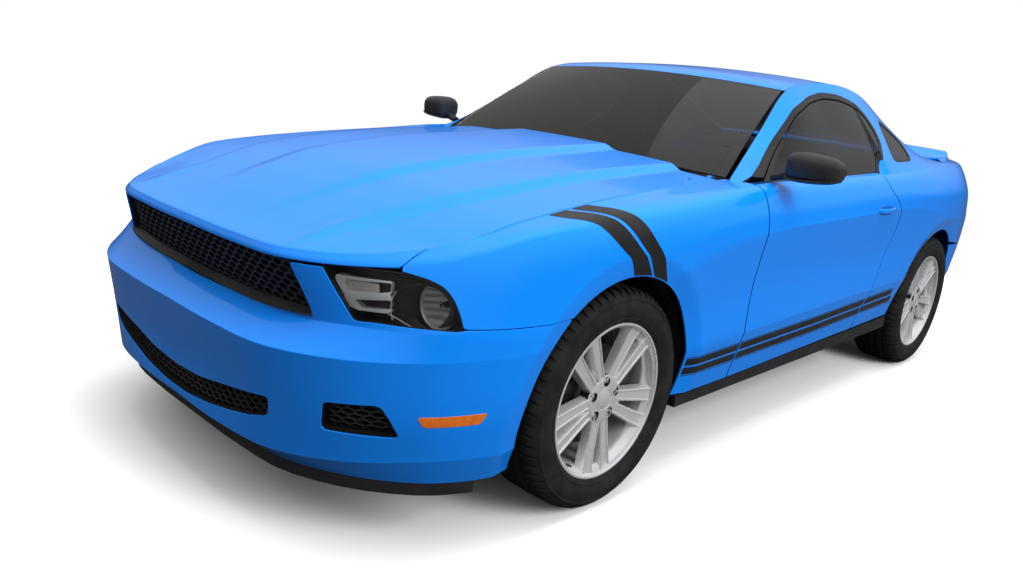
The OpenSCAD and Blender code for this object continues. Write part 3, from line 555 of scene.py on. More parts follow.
def ribs(nt, direction, scale, distortion):
    w = texture(nt, "Wave", Scale=scale, Distortion=distortion)
    w.bands_direction = direction
    return w.outputs["Fac"]


def ramp(nt, fac, stops):
    r = nt.nodes.new("ShaderNodeValToRGB")
    e = r.color_ramp.elements
    while len(e) < len(stops):
        e.new(0.5)
    for k, (pos, col) in enumerate(stops):
        e[k].position = pos
        e[k].color = (*col, 1)
    nt.links.new(fac, r.inputs["Fac"])
    return r.outputs["Color"]


def bump(nt, p, fac, strength, dist=0.001):
    b = nt.nodes.new("ShaderNodeBump")
    b.inputs["Strength"].default_value = strength
    b.inputs["Distance"].default_value = dist
    nt.links.new(fac, b.inputs["Height"])
    nt.links.new(b.outputs["Normal"], p.inputs["Normal"])


def varied(nt, p, socket, fac, lo, hi):
    """Value of a socket that varies with a pattern."""
    mr = nt.nodes.new("ShaderNodeMapRange")
    mr.inputs["To Min"].default_value = lo
    mr.inputs["To Max"].default_value = hi
    nt.links.new(fac, mr.inputs["Value"])
    nt.links.new(mr.outputs["Result"], p.inputs[socket])


def tone(nt, p, fac, a, b, lo=0.35, hi=0.65):
    nt.links.new(ramp(nt, fac, [(lo, a), (hi, b)]), p.inputs["Base Color"])


def paint(name, color, flake):
    m, nt, p = base(name, color, 0.32, 0.0, Coat_Weight=0.8, Coat_Roughness=0.02, Coat_IOR=1.42,
                    Specular_IOR_Level=0.12)
    tone(nt, p, noise(nt, 2600, 1.0), color, flake, 0.55, 0.8)
    varied(nt, p, "Roughness", noise(nt, 8, 2), 0.27, 0.36)
    bump(nt, p, noise(nt, 260, 2), 0.02, 0.0004)
    return m


def plastic(name, a, b, rough, grain=900, depth=0.25, **kw):
    m, nt, p = base(name, a, rough, 0.0, **kw)
    tone(nt, p, noise(nt, 14, 4), a, b)
    varied(nt, p, "Roughness", noise(nt, 40, 3), rough - 0.06, rough + 0.08)
    bump(nt, p, noise(nt, grain, 2), depth, 0.0005)
    return m


def metal(name, a, b, rough, scale=30, grain=500, depth=0.08):
    m, nt, p = base(name, a, rough, 1.0)
    tone(nt, p, noise(nt, scale, 4), a, b)
    varied(nt, p, "Roughness", noise(nt, scale * 2, 3), rough - 0.06, rough + 0.08)
    bump(nt, p, noise(nt, grain, 2), depth, 0.0004)
    return m


def alloy():
    m, nt, p = base("alloy_paint", (0.84, 0.85, 0.86), 0.26, 0.65, Coat_Weight=0.5, Coat_Roughness=0.04)
    tone(nt, p, noise(nt, 6, 2), (0.82, 0.83, 0.84), (0.87, 0.88, 0.89))
    varied(nt, p, "Roughness", noise(nt, 12, 2), 0.24, 0.30)
    bump(nt, p, noise(nt, 300, 1), 0.01, 0.0004)
    return m


def glass(name, tint):
    m, nt, p = base(name, tint, 0.0, 0.0, Transmission_Weight=1.0, IOR=1.45)
    varied(nt, p, "Roughness", noise(nt, 6, 2), 0.0, 0.012)
    return m


def clear_cover():
    """Thin clear plastic: light passes straight through, with a mirror sheen at its face."""
    m = bpy.data.materials.new("clear_lens")
    m.use_nodes = True
    nt = m.node_tree
    nt.nodes.remove(nt.nodes["Principled BSDF"])
    tr, gl = nt.nodes.new("ShaderNodeBsdfTransparent"), nt.nodes.new("ShaderNodeBsdfGlossy")
    tr.inputs["Color"].default_value = (0.97, 0.975, 0.98, 1)
    varied(nt, gl, "Roughness", noise(nt, 8, 2), 0.01, 0.05)
    fr = nt.nodes.new("ShaderNodeFresnel")
    fr.inputs["IOR"].default_value = 1.25
    mx = nt.nodes.new("ShaderNodeMixShader")
    nt.links.new(fr.outputs["Fac"], mx.inputs["Fac"])
    nt.links.new(tr.outputs["BSDF"], mx.inputs[1])
    nt.links.new(gl.outputs["BSDF"], mx.inputs[2])
    nt.links.new(mx.outputs["Shader"], nt.nodes["Material Output"].inputs["Surface"])
    return m


def lamp(name, a, b, rough=0.12):
    m, nt, p = base(name, a, rough, 0.0, Coat_Weight=1.0, Coat_Roughness=0.02)
    tone(nt, p, noise(nt, 60, 2), a, b)
    bump(nt, p, texture(nt, "Voronoi", Scale=160).outputs["Distance"], 0.25, 0.001)
    return m


def banded_sheen(name, a, b, rough, wave, scale):
    """Bright metal with fine ribs or steps; its colour runs dark in the hollows and bright on the crests as
    painted reflection bands.
    """
    m, nt, p = base(name, a, rough, 0.4)
    w = ribs(nt, wave, scale, 0.4)
    # Colour from a to b along the ribs: painted highlight on the crests and painted shade in the hollows.
    tone(nt, p, w, a, b, 0.2, 0.8)
    varied(nt, p, "Roughness", noise(nt, 40, 2), rough - 0.04, rough + 0.05)
    bump(nt, p, w, 0.6, 0.0012)
    return m


def rubber():
    m, nt, p = base("tyre_rubber", (0.012, 0.012, 0.012), 0.72, 0.0, Specular_IOR_Level=0.35)
    tone(nt, p, noise(nt, 18, 5), (0.009, 0.009, 0.009), (0.017, 0.017, 0.016))
    varied(nt, p, "Roughness", noise(nt, 30, 3), 0.6, 0.82)
    bump(nt, p, noise(nt, 700, 3), 0.3, 0.0006)
    return m


def cloth(name, a, b, scale):
    m, nt, p = base(name, a, 0.88, 0.0, Sheen_Weight=0.3, Sheen_Roughness=0.5)
    mx = nt.nodes.new("ShaderNodeMath")
    mx.operation = "MULTIPLY"
    for k, direction in enumerate("XY"):
        nt.links.new(ribs(nt, direction, scale, 0.6), mx.inputs[k])
    tone(nt, p, mx.outputs["Value"], a, b, 0.2, 0.8)
    bump(nt, p, mx.outputs["Value"], 0.5, 0.0008)
    return m


# Materials by name
BLUE = (0.0015, 0.205, 0.80)
M = {
    "paint": paint("blue_paint", BLUE, (0.006, 0.25, 0.90)),
    "black": plastic("satin_black", (0.010, 0.010, 0.011), (0.016, 0.016, 0.017), 0.42),
    "mesh_black": plastic("grille_black", (0.006, 0.006, 0.0065), (0.011, 0.011, 0.012), 0.36, 700, 0.1),
    "stripe": plastic("stripe_film", (0.008, 0.008, 0.009), (0.013, 0.013, 0.014), 0.30, 600, 0.04),
    "seal": plastic("window_seal", (0.007, 0.007, 0.0075), (0.012, 0.012, 0.0125), 0.34, 800, 0.08),
    "mirror_shell": plastic("mirror_shell", (0.016, 0.016, 0.017), (0.024, 0.024, 0.025), 0.36, 900, 0.12),
    # Cup under the door grip: the body blue darkened to under half, painted shade in the recess under the
    # grip.
    "cup": paint("grip_cup", (0.0008, 0.09, 0.36), (0.002, 0.11, 0.42)),
    "liner": plastic("liner_felt", (0.006, 0.006, 0.006), (0.014, 0.014, 0.014), 0.85, 350, 0.5),
    "under": plastic("underbody_coat", (0.018, 0.018, 0.019), (0.032, 0.031, 0.030), 0.68, 220, 0.45),
    "cabin": plastic("cabin_plastic", (0.016, 0.016, 0.017), (0.026, 0.026, 0.027), 0.58, 1100, 0.4),
    "alloy": alloy(),
    "chrome": metal("chrome", (0.80, 0.81, 0.82), (0.86, 0.87, 0.88), 0.09, 12, 400, 0.015),
    "steel": metal("bare_steel", (0.32, 0.32, 0.33), (0.44, 0.43, 0.42), 0.42, 25, 260, 0.25),
    "iron": metal("cast_iron", (0.16, 0.155, 0.15), (0.25, 0.24, 0.23), 0.55, 40, 180, 0.5),
    # Reflector, ribbed lens and bezel carry bands of painted reflection along their ribs.
    "reflector": banded_sheen("lamp_reflector", (0.50, 0.50, 0.50), (0.92, 0.92, 0.93), 0.16, "Z", 18),
    "ribbed": banded_sheen("ribbed_lens", (0.50, 0.48, 0.44), (0.70, 0.68, 0.64), 0.34, "Y", 70),
    "bezel": banded_sheen("lamp_bezel", (0.78, 0.78, 0.79), (0.92, 0.92, 0.93), 0.18, "Z", 6),
    "shroud": plastic("lamp_shroud", (0.013, 0.012, 0.012), (0.022, 0.021, 0.020), 0.42, 900, 0.1),
    "smoke": plastic("lamp_smoke", (0.022, 0.016, 0.014), (0.034, 0.026, 0.024), 0.22, 500, 0.05),
    # Near-black trays behind the grille meshes and tail lamp bars: painted shade for the depth behind the
    # openings.
    "painted_shade": plastic("painted_shade_recess", (0.0025, 0.0025, 0.0027), (0.004, 0.004, 0.0042), 0.8, 300, 0.2),
    "amber": lamp("amber_lamp", (0.62, 0.12, 0.004), (0.76, 0.17, 0.008)),
    "red": lamp("red_lamp", (0.26, 0.004, 0.006), (0.36, 0.008, 0.010)),
    "seat": cloth("seat_cloth", (0.020, 0.020, 0.022), (0.045, 0.045, 0.048), 260),
    "glass": glass("tinted_glass", (0.16, 0.165, 0.17)),
    "lens": clear_cover(),
    "rubber": rubber(),
}


# Outlines of the openings, in the planes that the solids use
def with_mirror(poly):
    return poly + [[-p[0], p[1]] for p in poly[-2:0:-1]]


GRILLE = fillet([[-541, 622], [-300, 604], [0, 600], [300, 604], [541, 622], [470, 800], [-470, 800]], 22)
LOW = fillet(with_mirror([[0, 340], [140, 348], [283, 372], [400, 392], [480, 405], [471, 346], [400, 324],
                          [321, 307], [200, 286], [62, 270], [0, 269]]), 16)
DUCT = fillet([[628, 434], [745, 446], [760, 410], [773, 355], [616, 352]], 12)
LAMP = fillet([[-1212, 772], [-1002, 774], [-940, 763], [-898, 748], [-871, 720], [-851, 682], [-838, 644],
               [-911, 645], [-1058, 643], [-1113, 637], [-1165, 704]], 14)
TAIL = fillet([[430, 905], [500, 908], [575, 912], [700, 915],
               [700, 735], [575, 728], [500, 725], [430, 722]], 14)
DOOR_WIN = fillet([[700, 987], [563, 1046], [366, 1157], [178, 1260], [-11, 1316], [-172, 1342], [-340, 1344],
                   [-489, 1324], [-566, 1286], [-596, 1225], [-588, 1168], [-520, 1100], [-432, 1038],
                   [-425, 900], [704, 900]], 40, 7)
DOOR_GLASS = fillet([[660, 1012], [520, 1082], [340, 1172], [160, 1252], [-11, 1304], [-172, 1330],
                     [-340, 1332], [-482, 1312], [-556, 1276], [-584, 1222], [-576, 1170], [-508, 1104],
                     [-425, 1046], [-400, 1031.4], [-300, 1028], [-100, 1020.6], [100, 1013.6],
                     [300, 1007.6], [500, 1001.6], [620, 997], [660, 995.3]], 40, 7)
QUARTER_WIN = fillet([[-690, 1220], [-640, 1130], [-628, 1085], [-660, 1076], [-880, 1082], [-925, 1110],
                      [-962, 1170], [-900, 1208], [-800, 1246], [-745, 1256]], 40, 7)

# Rear edge of the door, as z and x
DOOR_REAR = np.array([[250, -380], [330, -392], [440, -424], [644, -508], [712, -535], [797, -556],
                      [893, -528], [969, -430], [1040, -395]], float)
REAR_LINE = hermite(DOOR_REAR, DOOR_REAR[:, 0], np.linspace(0, 8, 400))


def door_rear(z):
    return np.interp(z, REAR_LINE[:, 0], REAR_LINE[:, 1])


def corner(P):
    """Coordinates square to the lamp corner."""
    return np.stack([(np.abs(P[:, 1]) - P[:, 0]) / math.sqrt(2), P[:, 2]], 1)


def yz(P):
    return P[:, 1:]


def ayz(P):
    return np.stack([np.abs(P[:, 1]), P[:, 2]], 1)


def xz(P):
    return P[:, [0, 2]]


def arch(P, x):
    """Distance outside the wheel opening at x."""
    return np.hypot(P[..., 0] - x, P[..., 2] - WHEEL_Z) - ARCH_R


def smallest(*f):
    return np.minimum.reduce(f)


def both(s, pt, **k):
    for _, sign in SIDES:
        s.shell(pt.on(sign), **k)


def skin(name, pt, mats, slot, replaces=(), sides=1, **k):
    """Piece on the body made of one shell, or of a left and a right one."""
    s = Soup()
    if sides == 2:
        both(s, pt, **k)
    else:
        s.shell(pt, **k)
    s.object(name, mats, "body", slot, replaces)


def crisp(v, folds, d=0.018):
    """Rows close on both sides of each fold keep it sharp."""
    added = [[f - d, f, f + d] for f in folds if v[0] < f - d and f + d < v[-1]]
    return np.unique(np.concatenate([v] + added))


# Wheel arches: depth of the draw at the edge, its width, and the reach from the axle where it is looked for
FLARE_DEPTH, FLARE_WIDTH, FLARE_REACH = 18.0, 62.0, 600.0


def flared(F):
    """The surface F drawn in towards the wheel openings."""
    def drawn(a, b):
        p = F(a, b)
        for x in (FRONT_X, REAR_X):
            k = np.clip(1 - arch(p, x) / FLARE_WIDTH, 0, 1.1) * (np.abs(p[..., 0] - x) < FLARE_REACH)
            p[..., 1] -= np.sign(p[..., 1]) * FLARE_DEPTH * k
        return p
    return drawn


# Nose, with open grilles and lamps, up to the seam with the fenders
NOSE_X = 2190.0


def nose_cover():
    us = even(0, 6.5, 11)
    vs = crisp(steps((0, 6), (1, 12), (2, 14), (3, 12), (4, 16), (4.93, 0)), (1, 3, 4))
    pt = patch(flared(loft), np.concatenate([-us[:0:-1], us]), vs)
    P = pt.P
    under_seam = np.maximum(SPLIT_Z - SEAM - P[:, 2], P[:, 0] - NOSE_X)
    pt = pt.trim(smallest(arch(P, FRONT_X), sdf(yz(P), GRILLE), sdf(yz(P), LOW), sdf(ayz(P), DUCT),
                          sdf(corner(P), LAMP), under_seam))
    skin("nose_cover", pt, "paint", "paint", ["front_bumper"])


nose_cover()

# Front fenders, from the lamp to the door
FENDER_U = 3.61
FENDER_END = float(u_at(714 + TIGHT))
FENDER_SEAM_X = 1400.0


def fender_at(a, b):
    u = mix(FENDER_U, FENDER_END, a)
    low = np.where(u < 7, 3.5, np.maximum(0, 5 * (7.7 - u)))
    top = np.interp(u, [3.61, 3.71, 3.87, 4.05], [5.06, 5.45, 5.89, 6])
    return loft(u, mix(low, top, b))


def fender_skins():
    us = even(FENDER_U, FENDER_END, 12, 4.5)
    pt = patch(flared(fender_at), (us - FENDER_U) / (FENDER_END - FENDER_U), np.linspace(0, 1, 54))
    P = pt.P
    over_seam = np.maximum(P[:, 2] - SPLIT_Z - 2.0, FENDER_SEAM_X - P[:, 0])
    pt = pt.trim(smallest(arch(P, FRONT_X), sdf(corner(P), LAMP), over_seam))
    skin("fender_skins", pt, "paint", "paint", ["front_fenders"], 2)


fender_skins()

# Doors: painted outside, flat trim inside, and a thinner nose that clears the hinge pillar
DOOR_FRONT = 706.0
DOOR_STEPS = 100
DOOR_IN_Y = 800.0
DOOR_NOSE_X, DOOR_NOSE_T = 592.0, 28.0
DOOR_TAPER = 16.0


def door_row_z(v):
    """Height of ring v at the rear of the door."""
    return loft(np.full(np.shape(v), float(u_at(-500))), v)[..., 2]


def door_at(a, b):
    x = mix(DOOR_FRONT - TIGHT, door_rear(door_row_z(b)) + TIGHT, a)
    return loft(u_at(x), b)


def closed_door(s, pt, inn, sign):
    """Door between its outer patch and the matching inner points, with its outer edge rounded."""
    P, N, polys = pt.P, pt.N, pt.polys
    n = len(P)
    border, out = pt.border()
    inward = np.array([0, -sign, 0.0])
    s.add(P, polys, [[N[i] for i in p] for p in polys], 0)
    s.add(inn, [p[::-1] for p in polys], [[inward] * len(p) for p in polys], 1)
    R = np.vstack([P, P + out * 1.5 - N * 1.5, inn])
    s.add(R, [[j, i, n + i, n + j] for i, j in border], [[N[j], N[i], out[i], out[j]] for i, j in border], 0)
    for mat in (0, 1):
        part = [(i, j) for i, j in border if (out[i][2] + out[j][2] > 1.2) == bool(mat)]
        s.add(R, [[n + j, n + i, 2 * n + i, 2 * n + j] for i, j in part],
              [[out[j], out[i], out[i], out[j]] for i, j in part], mat)


def door_shells():
    vs = crisp(steps((0.0, 7), (1, 12), (2, 16), (3, 8), (4, 10), (5, 4), (5.2, 0)), (1, 3))
    f = np.linspace(0, 1, DOOR_STEPS)
    door = patch(door_at, f, vs)
    inner = door.P.copy()
    thin = inner[:, 1] - DOOR_NOSE_T
    nose = np.minimum(thin, mix(DOOR_IN_Y, thin, ease((inner[:, 0] - DOOR_NOSE_X) / 14)))
    inner[:, 1] = np.where(inner[:, 0] > DOOR_NOSE_X, nose, DOOR_IN_Y)
    last = np.repeat(f, len(vs)) - 0.985
    inner[:, 0] += np.where(last > 0, DOOR_TAPER * last / 0.015, 0)
    for side, sign in SIDES:
        s = Soup()
        closed_door(s, door.on(sign), inner * [1, sign, 1], sign)
        s.object(side + "_door_shell", "paint cabin", side + "_door", "paint", [side + "_door"])


door_shells()

# Cab: lines of the roof rail and of the belt under the windows
RAIL = np.array([[712, 752, 992], [430, 687, 1165], [165, 628, 1326], [-120, 594, 1372], [-420, 586, 1384],
                 [-700, 580, 1354], [-980, 572, 1275], [-1230, 568, 1180], [-1450, 566, 1092]], float)
BELT = np.array([[735, 852, 978], [430, 854, 988], [165, 853, 997], [-120, 852, 1007], [-420, 851, 1018],
                 [-700, 855, 1036], [-980, 848, 1048], [-1230, 826, 1057], [-1500, 770, 1070]], float)
RAIL_T, BELT_T = run(RAIL), run(BELT)
SIDE_CROWN = 26.0


def quarter_top(u):
    return np.interp(u, [11, 13.1, 14.6, 17], [5, 5, 6, 6])


def belt(w):
    """Foot of the cab: the belt beside the door, the top of the quarter panel behind it."""
    p = hermite(BELT, BELT_T, w)
    u = u_at(p[:, 0])
    q = loft(u, quarter_top(u)) + [0, 0, 0.5]
    return np.where((p[:, 0] > -500)[:, None], p, q)


def cab_side(w, f):
    shape = w.shape
    w, f = w.ravel(), f.ravel()[:, None]
    p = mix(belt(w), hermite(RAIL, RAIL_T, w), f)
    p[:, 1:2] += SIDE_CROWN * f * (1 - f)
    return p.reshape(shape + (3,))


CAB = patch(cab_side, np.linspace(0, 8, 210), np.linspace(0, 1, 42))
IN_DOOR_WIN = -sdf(xz(CAB.P), DOOR_WIN)
IN_QUARTER_WIN = -sdf(xz(CAB.P), QUARTER_WIN)
IN_DOOR_GLASS = -sdf(xz(CAB.P), DOOR_GLASS)

# The foot of the pillar stays clear of the door's front edge as it swings in
SWING = np.maximum.reduce([CAB.P[:, 2] - 1012, CAB.P[:, 0] - 718, 797 - CAB.P[:, 1]])
SWING = np.where(CAB.P[:, 0] > 0, SWING, 1e3)

# Line between the door's pane and the sail ahead of it: a point and the slope's normal, in x and z
SAIL_X, SAIL_Z, SAIL_NX, SAIL_NZ = 505, 1030, 74, 118
AHEAD = ((CAB.P[:, 0] - SAIL_X) * SAIL_NX + (CAB.P[:, 2] - SAIL_Z) * SAIL_NZ) / math.hypot(SAIL_NX, SAIL_NZ)


def cab_frames():
    pt = CAB.trim(smallest(-IN_DOOR_WIN, -IN_QUARTER_WIN, SWING))
    skin("cab_frames", pt, "paint cabin", "paint", ["side_frames"], 2, t=16, rim=1, back=1)


def window_seals():
    """Black seals round the side windows."""
    over_belt = CAB.P[:, 2] - np.interp(-CAB.P[:, 0], -BELT[:, 0], BELT[:, 2]) - 2
    door_seal = smallest(IN_DOOR_WIN - 0.6, 21 - IN_DOOR_WIN, over_belt, SWING)
    quarter_seal = smallest(IN_QUARTER_WIN - 0.6, 10 - IN_QUARTER_WIN)
    s = Soup()
    for field in (door_seal, quarter_seal):
        both(s, CAB.trim(field).moved(-0.8), t=9, c=2.0)
    s.object("window_seals", "seal", "body", "black_trim")


cab_frames()
window_seals()

# Roof and glass
ROOF_CROWN, ROOF_FRONT_BOW, ROOF_REAR_BOW = 26.0, 66.0, 30.0
ROOF_FRONT, ROOF_REAR = 2.0, 5.2
PANE = {"t": 5, "c": 0.8}


def roof_at(f, w):
    shape = w.shape
    f, w = f.ravel(), w.ravel()
    b = hermite(RAIL, RAIL_T, w)
    c = 1 - f * f
    x = b[:, 0] + ROOF_FRONT_BOW * c * ease(3.2 - w) - ROOF_REAR_BOW * c * ease(w - 4)
    return np.stack([x, f * (b[:, 1] - 2.0), b[:, 2] + ROOF_CROWN * c], 1).reshape(shape + (3,))


def windshield_at(t, f):
    low = np.stack([750 - 40 * t * t, 745 * t, 1000 - 16 * t * t], -1)
    top = np.stack([234.4 - ROOF_FRONT_BOW * t * t, 626 * t, 1352 - ROOF_CROWN * t * t], -1)
    f = f[..., None]
    return mix(low, top, f) + np.array([30, 0, 46.0]) * (f * (1 - f))


def rear_glass_at(t, f):
    e = hermite(RAIL, RAIL_T, np.array([ROOF_REAR]))[0]
    c = 1 - t * t
    low = np.stack([-1440 - 20 * c, 560 * t, 1092 + 14 * c], -1)
    top = np.stack([e[0] - 2.3 - ROOF_REAR_BOW * c, (e[1] - 4) * t, e[2] + ROOF_CROWN * c], -1)
    f = f[..., None]
    return mix(low, top, f) + np.array([-30, 0, 44.0]) * (f * (1 - f))


def roof_and_glass():
    roof = patch(roof_at, np.linspace(1, -1, 62), np.linspace(ROOF_REAR, ROOF_FRONT, 62))
    skin("roof_skin", roof, "paint cabin", "paint", ["roof"], t=16, rim=1, back=1)
    front = patch(windshield_at, np.linspace(0.98, -0.98, 70), np.linspace(0.998, 0.03, 40))
    skin("windshield_glass", front, "glass", "glass", ["windshield"], **PANE)
    rear = patch(rear_glass_at, np.linspace(0.975, -0.975, 60), np.linspace(0.02, 0.998, 40))
    skin("rear_glass", rear, "glass", "glass", ["rear_window"], **PANE)
    quarter = CAB.trim(IN_QUARTER_WIN - 8).moved(-4)
    skin("quarter_glass", quarter, "glass", "glass", ["quarter_windows"], 2, **PANE)


def door_panes():
    pane = CAB.trim(smallest(IN_DOOR_GLASS, IN_DOOR_WIN - 27, -AHEAD)).moved(-4)
    for side, sign in SIDES:
        s = Soup()
        s.shell(pane.on(sign), **PANE)
        s.object(side + "_door_pane", "glass", side + "_door", "glass", [side + "_door_glass"])


roof_and_glass()
door_panes()

# Hood: domed lid with a lip that turns down over the grille, and a wing at each lamp
HOOD_U = 3.56
HOOD_REAR = 772.0
HOOD_PIN = (745.0, 985.0)
HOOD_SIDE_X = 2049.0
LIP = 0.955
HOOD_LINE = loft(np.linspace(HOOD_U, 9, 240), np.full(240, 6.0))
HOOD_CORNER = HOOD_LINE[0]


def side_y(x):
    return np.interp(-x, -HOOD_LINE[:, 0], HOOD_LINE[:, 1])


def side_z(x):
    return np.interp(-x, -HOOD_LINE[:, 0], HOOD_LINE[:, 2])


def hood_z(x, y):
    """Height of the hood: crown, raised middle and a second step along its centre."""
    back = np.minimum(x, HOOD_SIDE_X)
    z = np.where(x > HOOD_SIDE_X, side_z(HOOD_SIDE_X) - (x - HOOD_SIDE_X) * 0.2, side_z(back))
    t = np.minimum(np.abs(y) / side_y(back), 1)
    k = ease((2330 - x) / 700)
    return (z + mix(14, 22, k) * (1 - t * t) + 20 * ease((mix(470, 590, k) - np.abs(y)) / 55)
            + 18 * k * ease((mix(215, 290, k) - np.abs(y)) / 70))


def hood_half(x):
    """Half width of the hood at x."""
    return side_y(x) - (SHUT - TIGHT) * (1 - ease((x - 2040) / 60))


def hood_at(a, b):
    u = HOOD_U * a
    p = loft(u, np.full(u.shape, 6.0))
    f = p[..., 1] / HOOD_CORNER[1]
    sb = np.minimum(b / LIP, 1)
    x = mix(HOOD_REAR, p[..., 0], sb)
    y = f * hood_half(x)
    y = mix(y, p[..., 1], ease((sb - 0.9) / 0.1) * (np.abs(a) < 0.97))
    z = hood_z(x, y)
    z = z + (p[..., 2] - hood_z(p[..., 0], p[..., 1])) * ease((sb - 0.8) / 0.2)
    v = 6 - np.clip((b - LIP) / (1 - LIP), 0, 1) * 0.97
    return np.where((b > LIP)[..., None], loft(u, v), np.stack([x, y, z], -1))


HOOD_EDGE = hood_at(np.full(200, 1.0), np.linspace(0, LIP, 200))


def hood_wing(u, t):
    """Corner of the hood between its edge and the fender."""
    v = np.interp(u, [3.56, 3.61, 3.71, 3.87], [5.03, 5.19, 5.58, 5.995])
    p, q = loft(u, mix(6.0, v, t)), loft(u, np.full(u.shape, 6.0))
    x = q[..., 0]
    e = np.stack([x] + [np.interp(x, HOOD_EDGE[:, 0], HOOD_EDGE[:, k]) for k in (1, 2)], -1)
    return p + (e - q) * (1 - t)[..., None]


def hood_skin():
    rows = np.concatenate([np.linspace(0, LIP, 100), np.linspace(LIP, 1, 9)[1:]])
    s = Soup()
    s.shell(patch(hood_at, np.linspace(1, -1, 130), rows), t=12, back=1)
    both(s, patch(hood_wing, np.linspace(HOOD_U, 3.868, 24), np.linspace(1, 0, 14)), t=5, c=0.6)
    lid_arms(s, HOOD_PIN, (HOOD_PIN[0], 880), 684, 700)
    s.object("hood_skin", "paint liner", "hood", "paint", ["hood"])


hood_skin()

# Tail: quarter panels, bumper cover and the panel with the lamps
TAIL_U = 16.3
TAIL_SEAM_X = -1500.0


def quarter_at(a, b):
    x = door_rear(door_row_z(5 * b)) - SHUT - TIGHT
    u = mix(u_at(x), TAIL_U, a)
    return loft(u, mix(np.clip(2 * (u - 12.5), 0, 2), quarter_top(u), b))


def round_tail(u0, step):
    """Values of u from u0 on the left round the tail to the right."""
    us = even(u0, LAST, step)
    return np.concatenate([us, 2 * LAST - us[-2::-1]])


TAIL_FACE = patch(loft, round_tail(TAIL_U + 0.03, 10), steps((2.2, 10), (3, 14), (4, 12), (5.1, 0)))


def tail_panels():
    rows = crisp(np.linspace(0, 1, 52), (0.2, 0.6), 0.005)
    pt = patch(flared(quarter_at), np.linspace(0, 1, 150), rows)
    over_seam = np.maximum(pt.P[:, 2] - TAIL_Z - SEAM, pt.P[:, 0] - TAIL_SEAM_X)
    pt = pt.trim(smallest(arch(pt.P, REAR_X), over_seam))
    skin("quarter_skins", pt, "paint", "paint", ["quarter_panels"], 2)
    rows = crisp(steps((0, 6), (1, 12), (2, 14), (3, 0)), (1,))
    pt = patch(flared(loft), round_tail(LAST - 6, 13), rows)
    pt = pt.trim(smallest(arch(pt.P, REAR_X), TAIL_Z - SEAM - pt.P[:, 2]))
    skin("tail_cover", pt, "paint", "paint", ["rear_bumper"])
    pt = TAIL_FACE.trim(smallest(TAIL_FACE.P[:, 2] - TAIL_Z - SEAM, sdf(ayz(TAIL_FACE.P), TAIL)))
    skin("tail_skin", pt, "paint", "paint", ["tail_panel"])


tail_panels()

# Boot lid, with a raised rear edge
DECK_U = 2.3
DECK_FRONT = -1496.0
DECK_PIN = (-1482.0, 1080.0)
DECK_CROWN = 16.0
EDGE_RISE, EDGE_X, EDGE_RUN = 30.0, -2080.0, 130.0
DECK_LINE = loft(np.linspace(13, 16.6, 120), np.full(120, 6.0))
DECK_HALF = loft(np.array([LAST - DECK_U]), np.array([6.0]))[0, 1]


def edge_rise(x):
    return EDGE_RISE * ease((EDGE_X - x) / EDGE_RUN)


def deck_at(a, b):
    u = LAST + DECK_U * a
    q = loft(u, np.full(u.shape, 6.0))
    x = mix(q[..., 0] + SHUT - TIGHT, DECK_FRONT - TIGHT, b)
    y = q[..., 1] / DECK_HALF * (np.interp(-x, -DECK_LINE[:, 0], DECK_LINE[:, 1]) - SHUT + TIGHT)
    z = np.interp(-x, -DECK_LINE[:, 0], DECK_LINE[:, 2]) + DECK_CROWN * (1 - (y / 720) ** 2) + edge_rise(x)
    return np.stack([x, y, z], -1)


def deck_skirt(a, t):
    """Rear face of the lid from its edge down to the tail panel."""
    u = LAST + DECK_U * a
    top, low = deck_at(a, np.zeros(a.shape)), loft(u, np.full(u.shape, 5.26))
    return mix(top, low, t[..., None]) + np.array([14.0, 0, 0]) * (t * (1 - t))[..., None]


def deck_cheek(b, t):
    """Side face under the raised rear corner of the lid."""
    top = deck_at(np.full(b.shape, -1.0), b)
    drop = 10 + edge_rise(top[..., 0])
    return top - np.stack([0 * b, 0 * b, drop * t], -1)


def deck_skin():
    s = Soup()
    s.shell(patch(deck_at, np.linspace(-1, 1, 90), np.linspace(0, 1, 46)), t=12, back=1)
    s.shell(patch(deck_skirt, np.linspace(-1, 1, 110), np.linspace(1, 0, 12)), t=10, c=1.0, back=1)
    both(s, patch(deck_cheek, np.linspace(0, 0.35, 28), np.linspace(0, 1, 6)), t=5, c=0.6)
    lid_arms(s, DECK_PIN, (DECK_PIN[0], -1600), 440, 456)
    s.object("deck_skin", "paint liner", "decklid", "paint", ["decklid"])


deck_skin()


# Wheels, built about their own axis with Z outward
def wheel_turn(sign):
    return np.array([[1, 0, 0], [0, 0, sign], [0, -1, 0]], float)


WHEELS = [(f"{end}_{side}", wheel_turn(sign), np.array([x, sign * WHEEL_Y, WHEEL_Z]))
          for end, x in (("front", FRONT_X), ("rear", REAR_X)) for side, sign in SIDES]

# Tyre: half of its outer outline as r and z, with four grooves, and its bore
TYRE_HALF = [(247.6, 96), (248.2, 104), (254, 108.5), (259, 110), (260.5, 112), (263, 112), (264.5, 111.2),
             (268, 113), (281, 116.4), (292, 117.4), (305, 116), (316, 113), (318.5, 114.2), (321, 114),
             (323, 111), (330, 106.8), (338, 100), (343.5, 92.5), (346.5, 84), (348.4, 72), (349.0, 60.5),
             (342, 58), (342, 51), (349.4, 48.5), (349.9, 26), (343, 24), (343, 16), (350, 13.5)]
TYRE_BORE = [(228, -78), (228, 78)]
BLOCKS = 66
CUT_DEPTH = 5.5
CUT_SKEW = 0.035

# Steps of one shoulder block round the tyre, and which of them lie in the cut
BLOCK_STEPS = np.array([0, 0.32, 0.64, 0.655, 0.985])
BLOCK_CUTS = np.array([0, 0, 0, 1, 1.0])


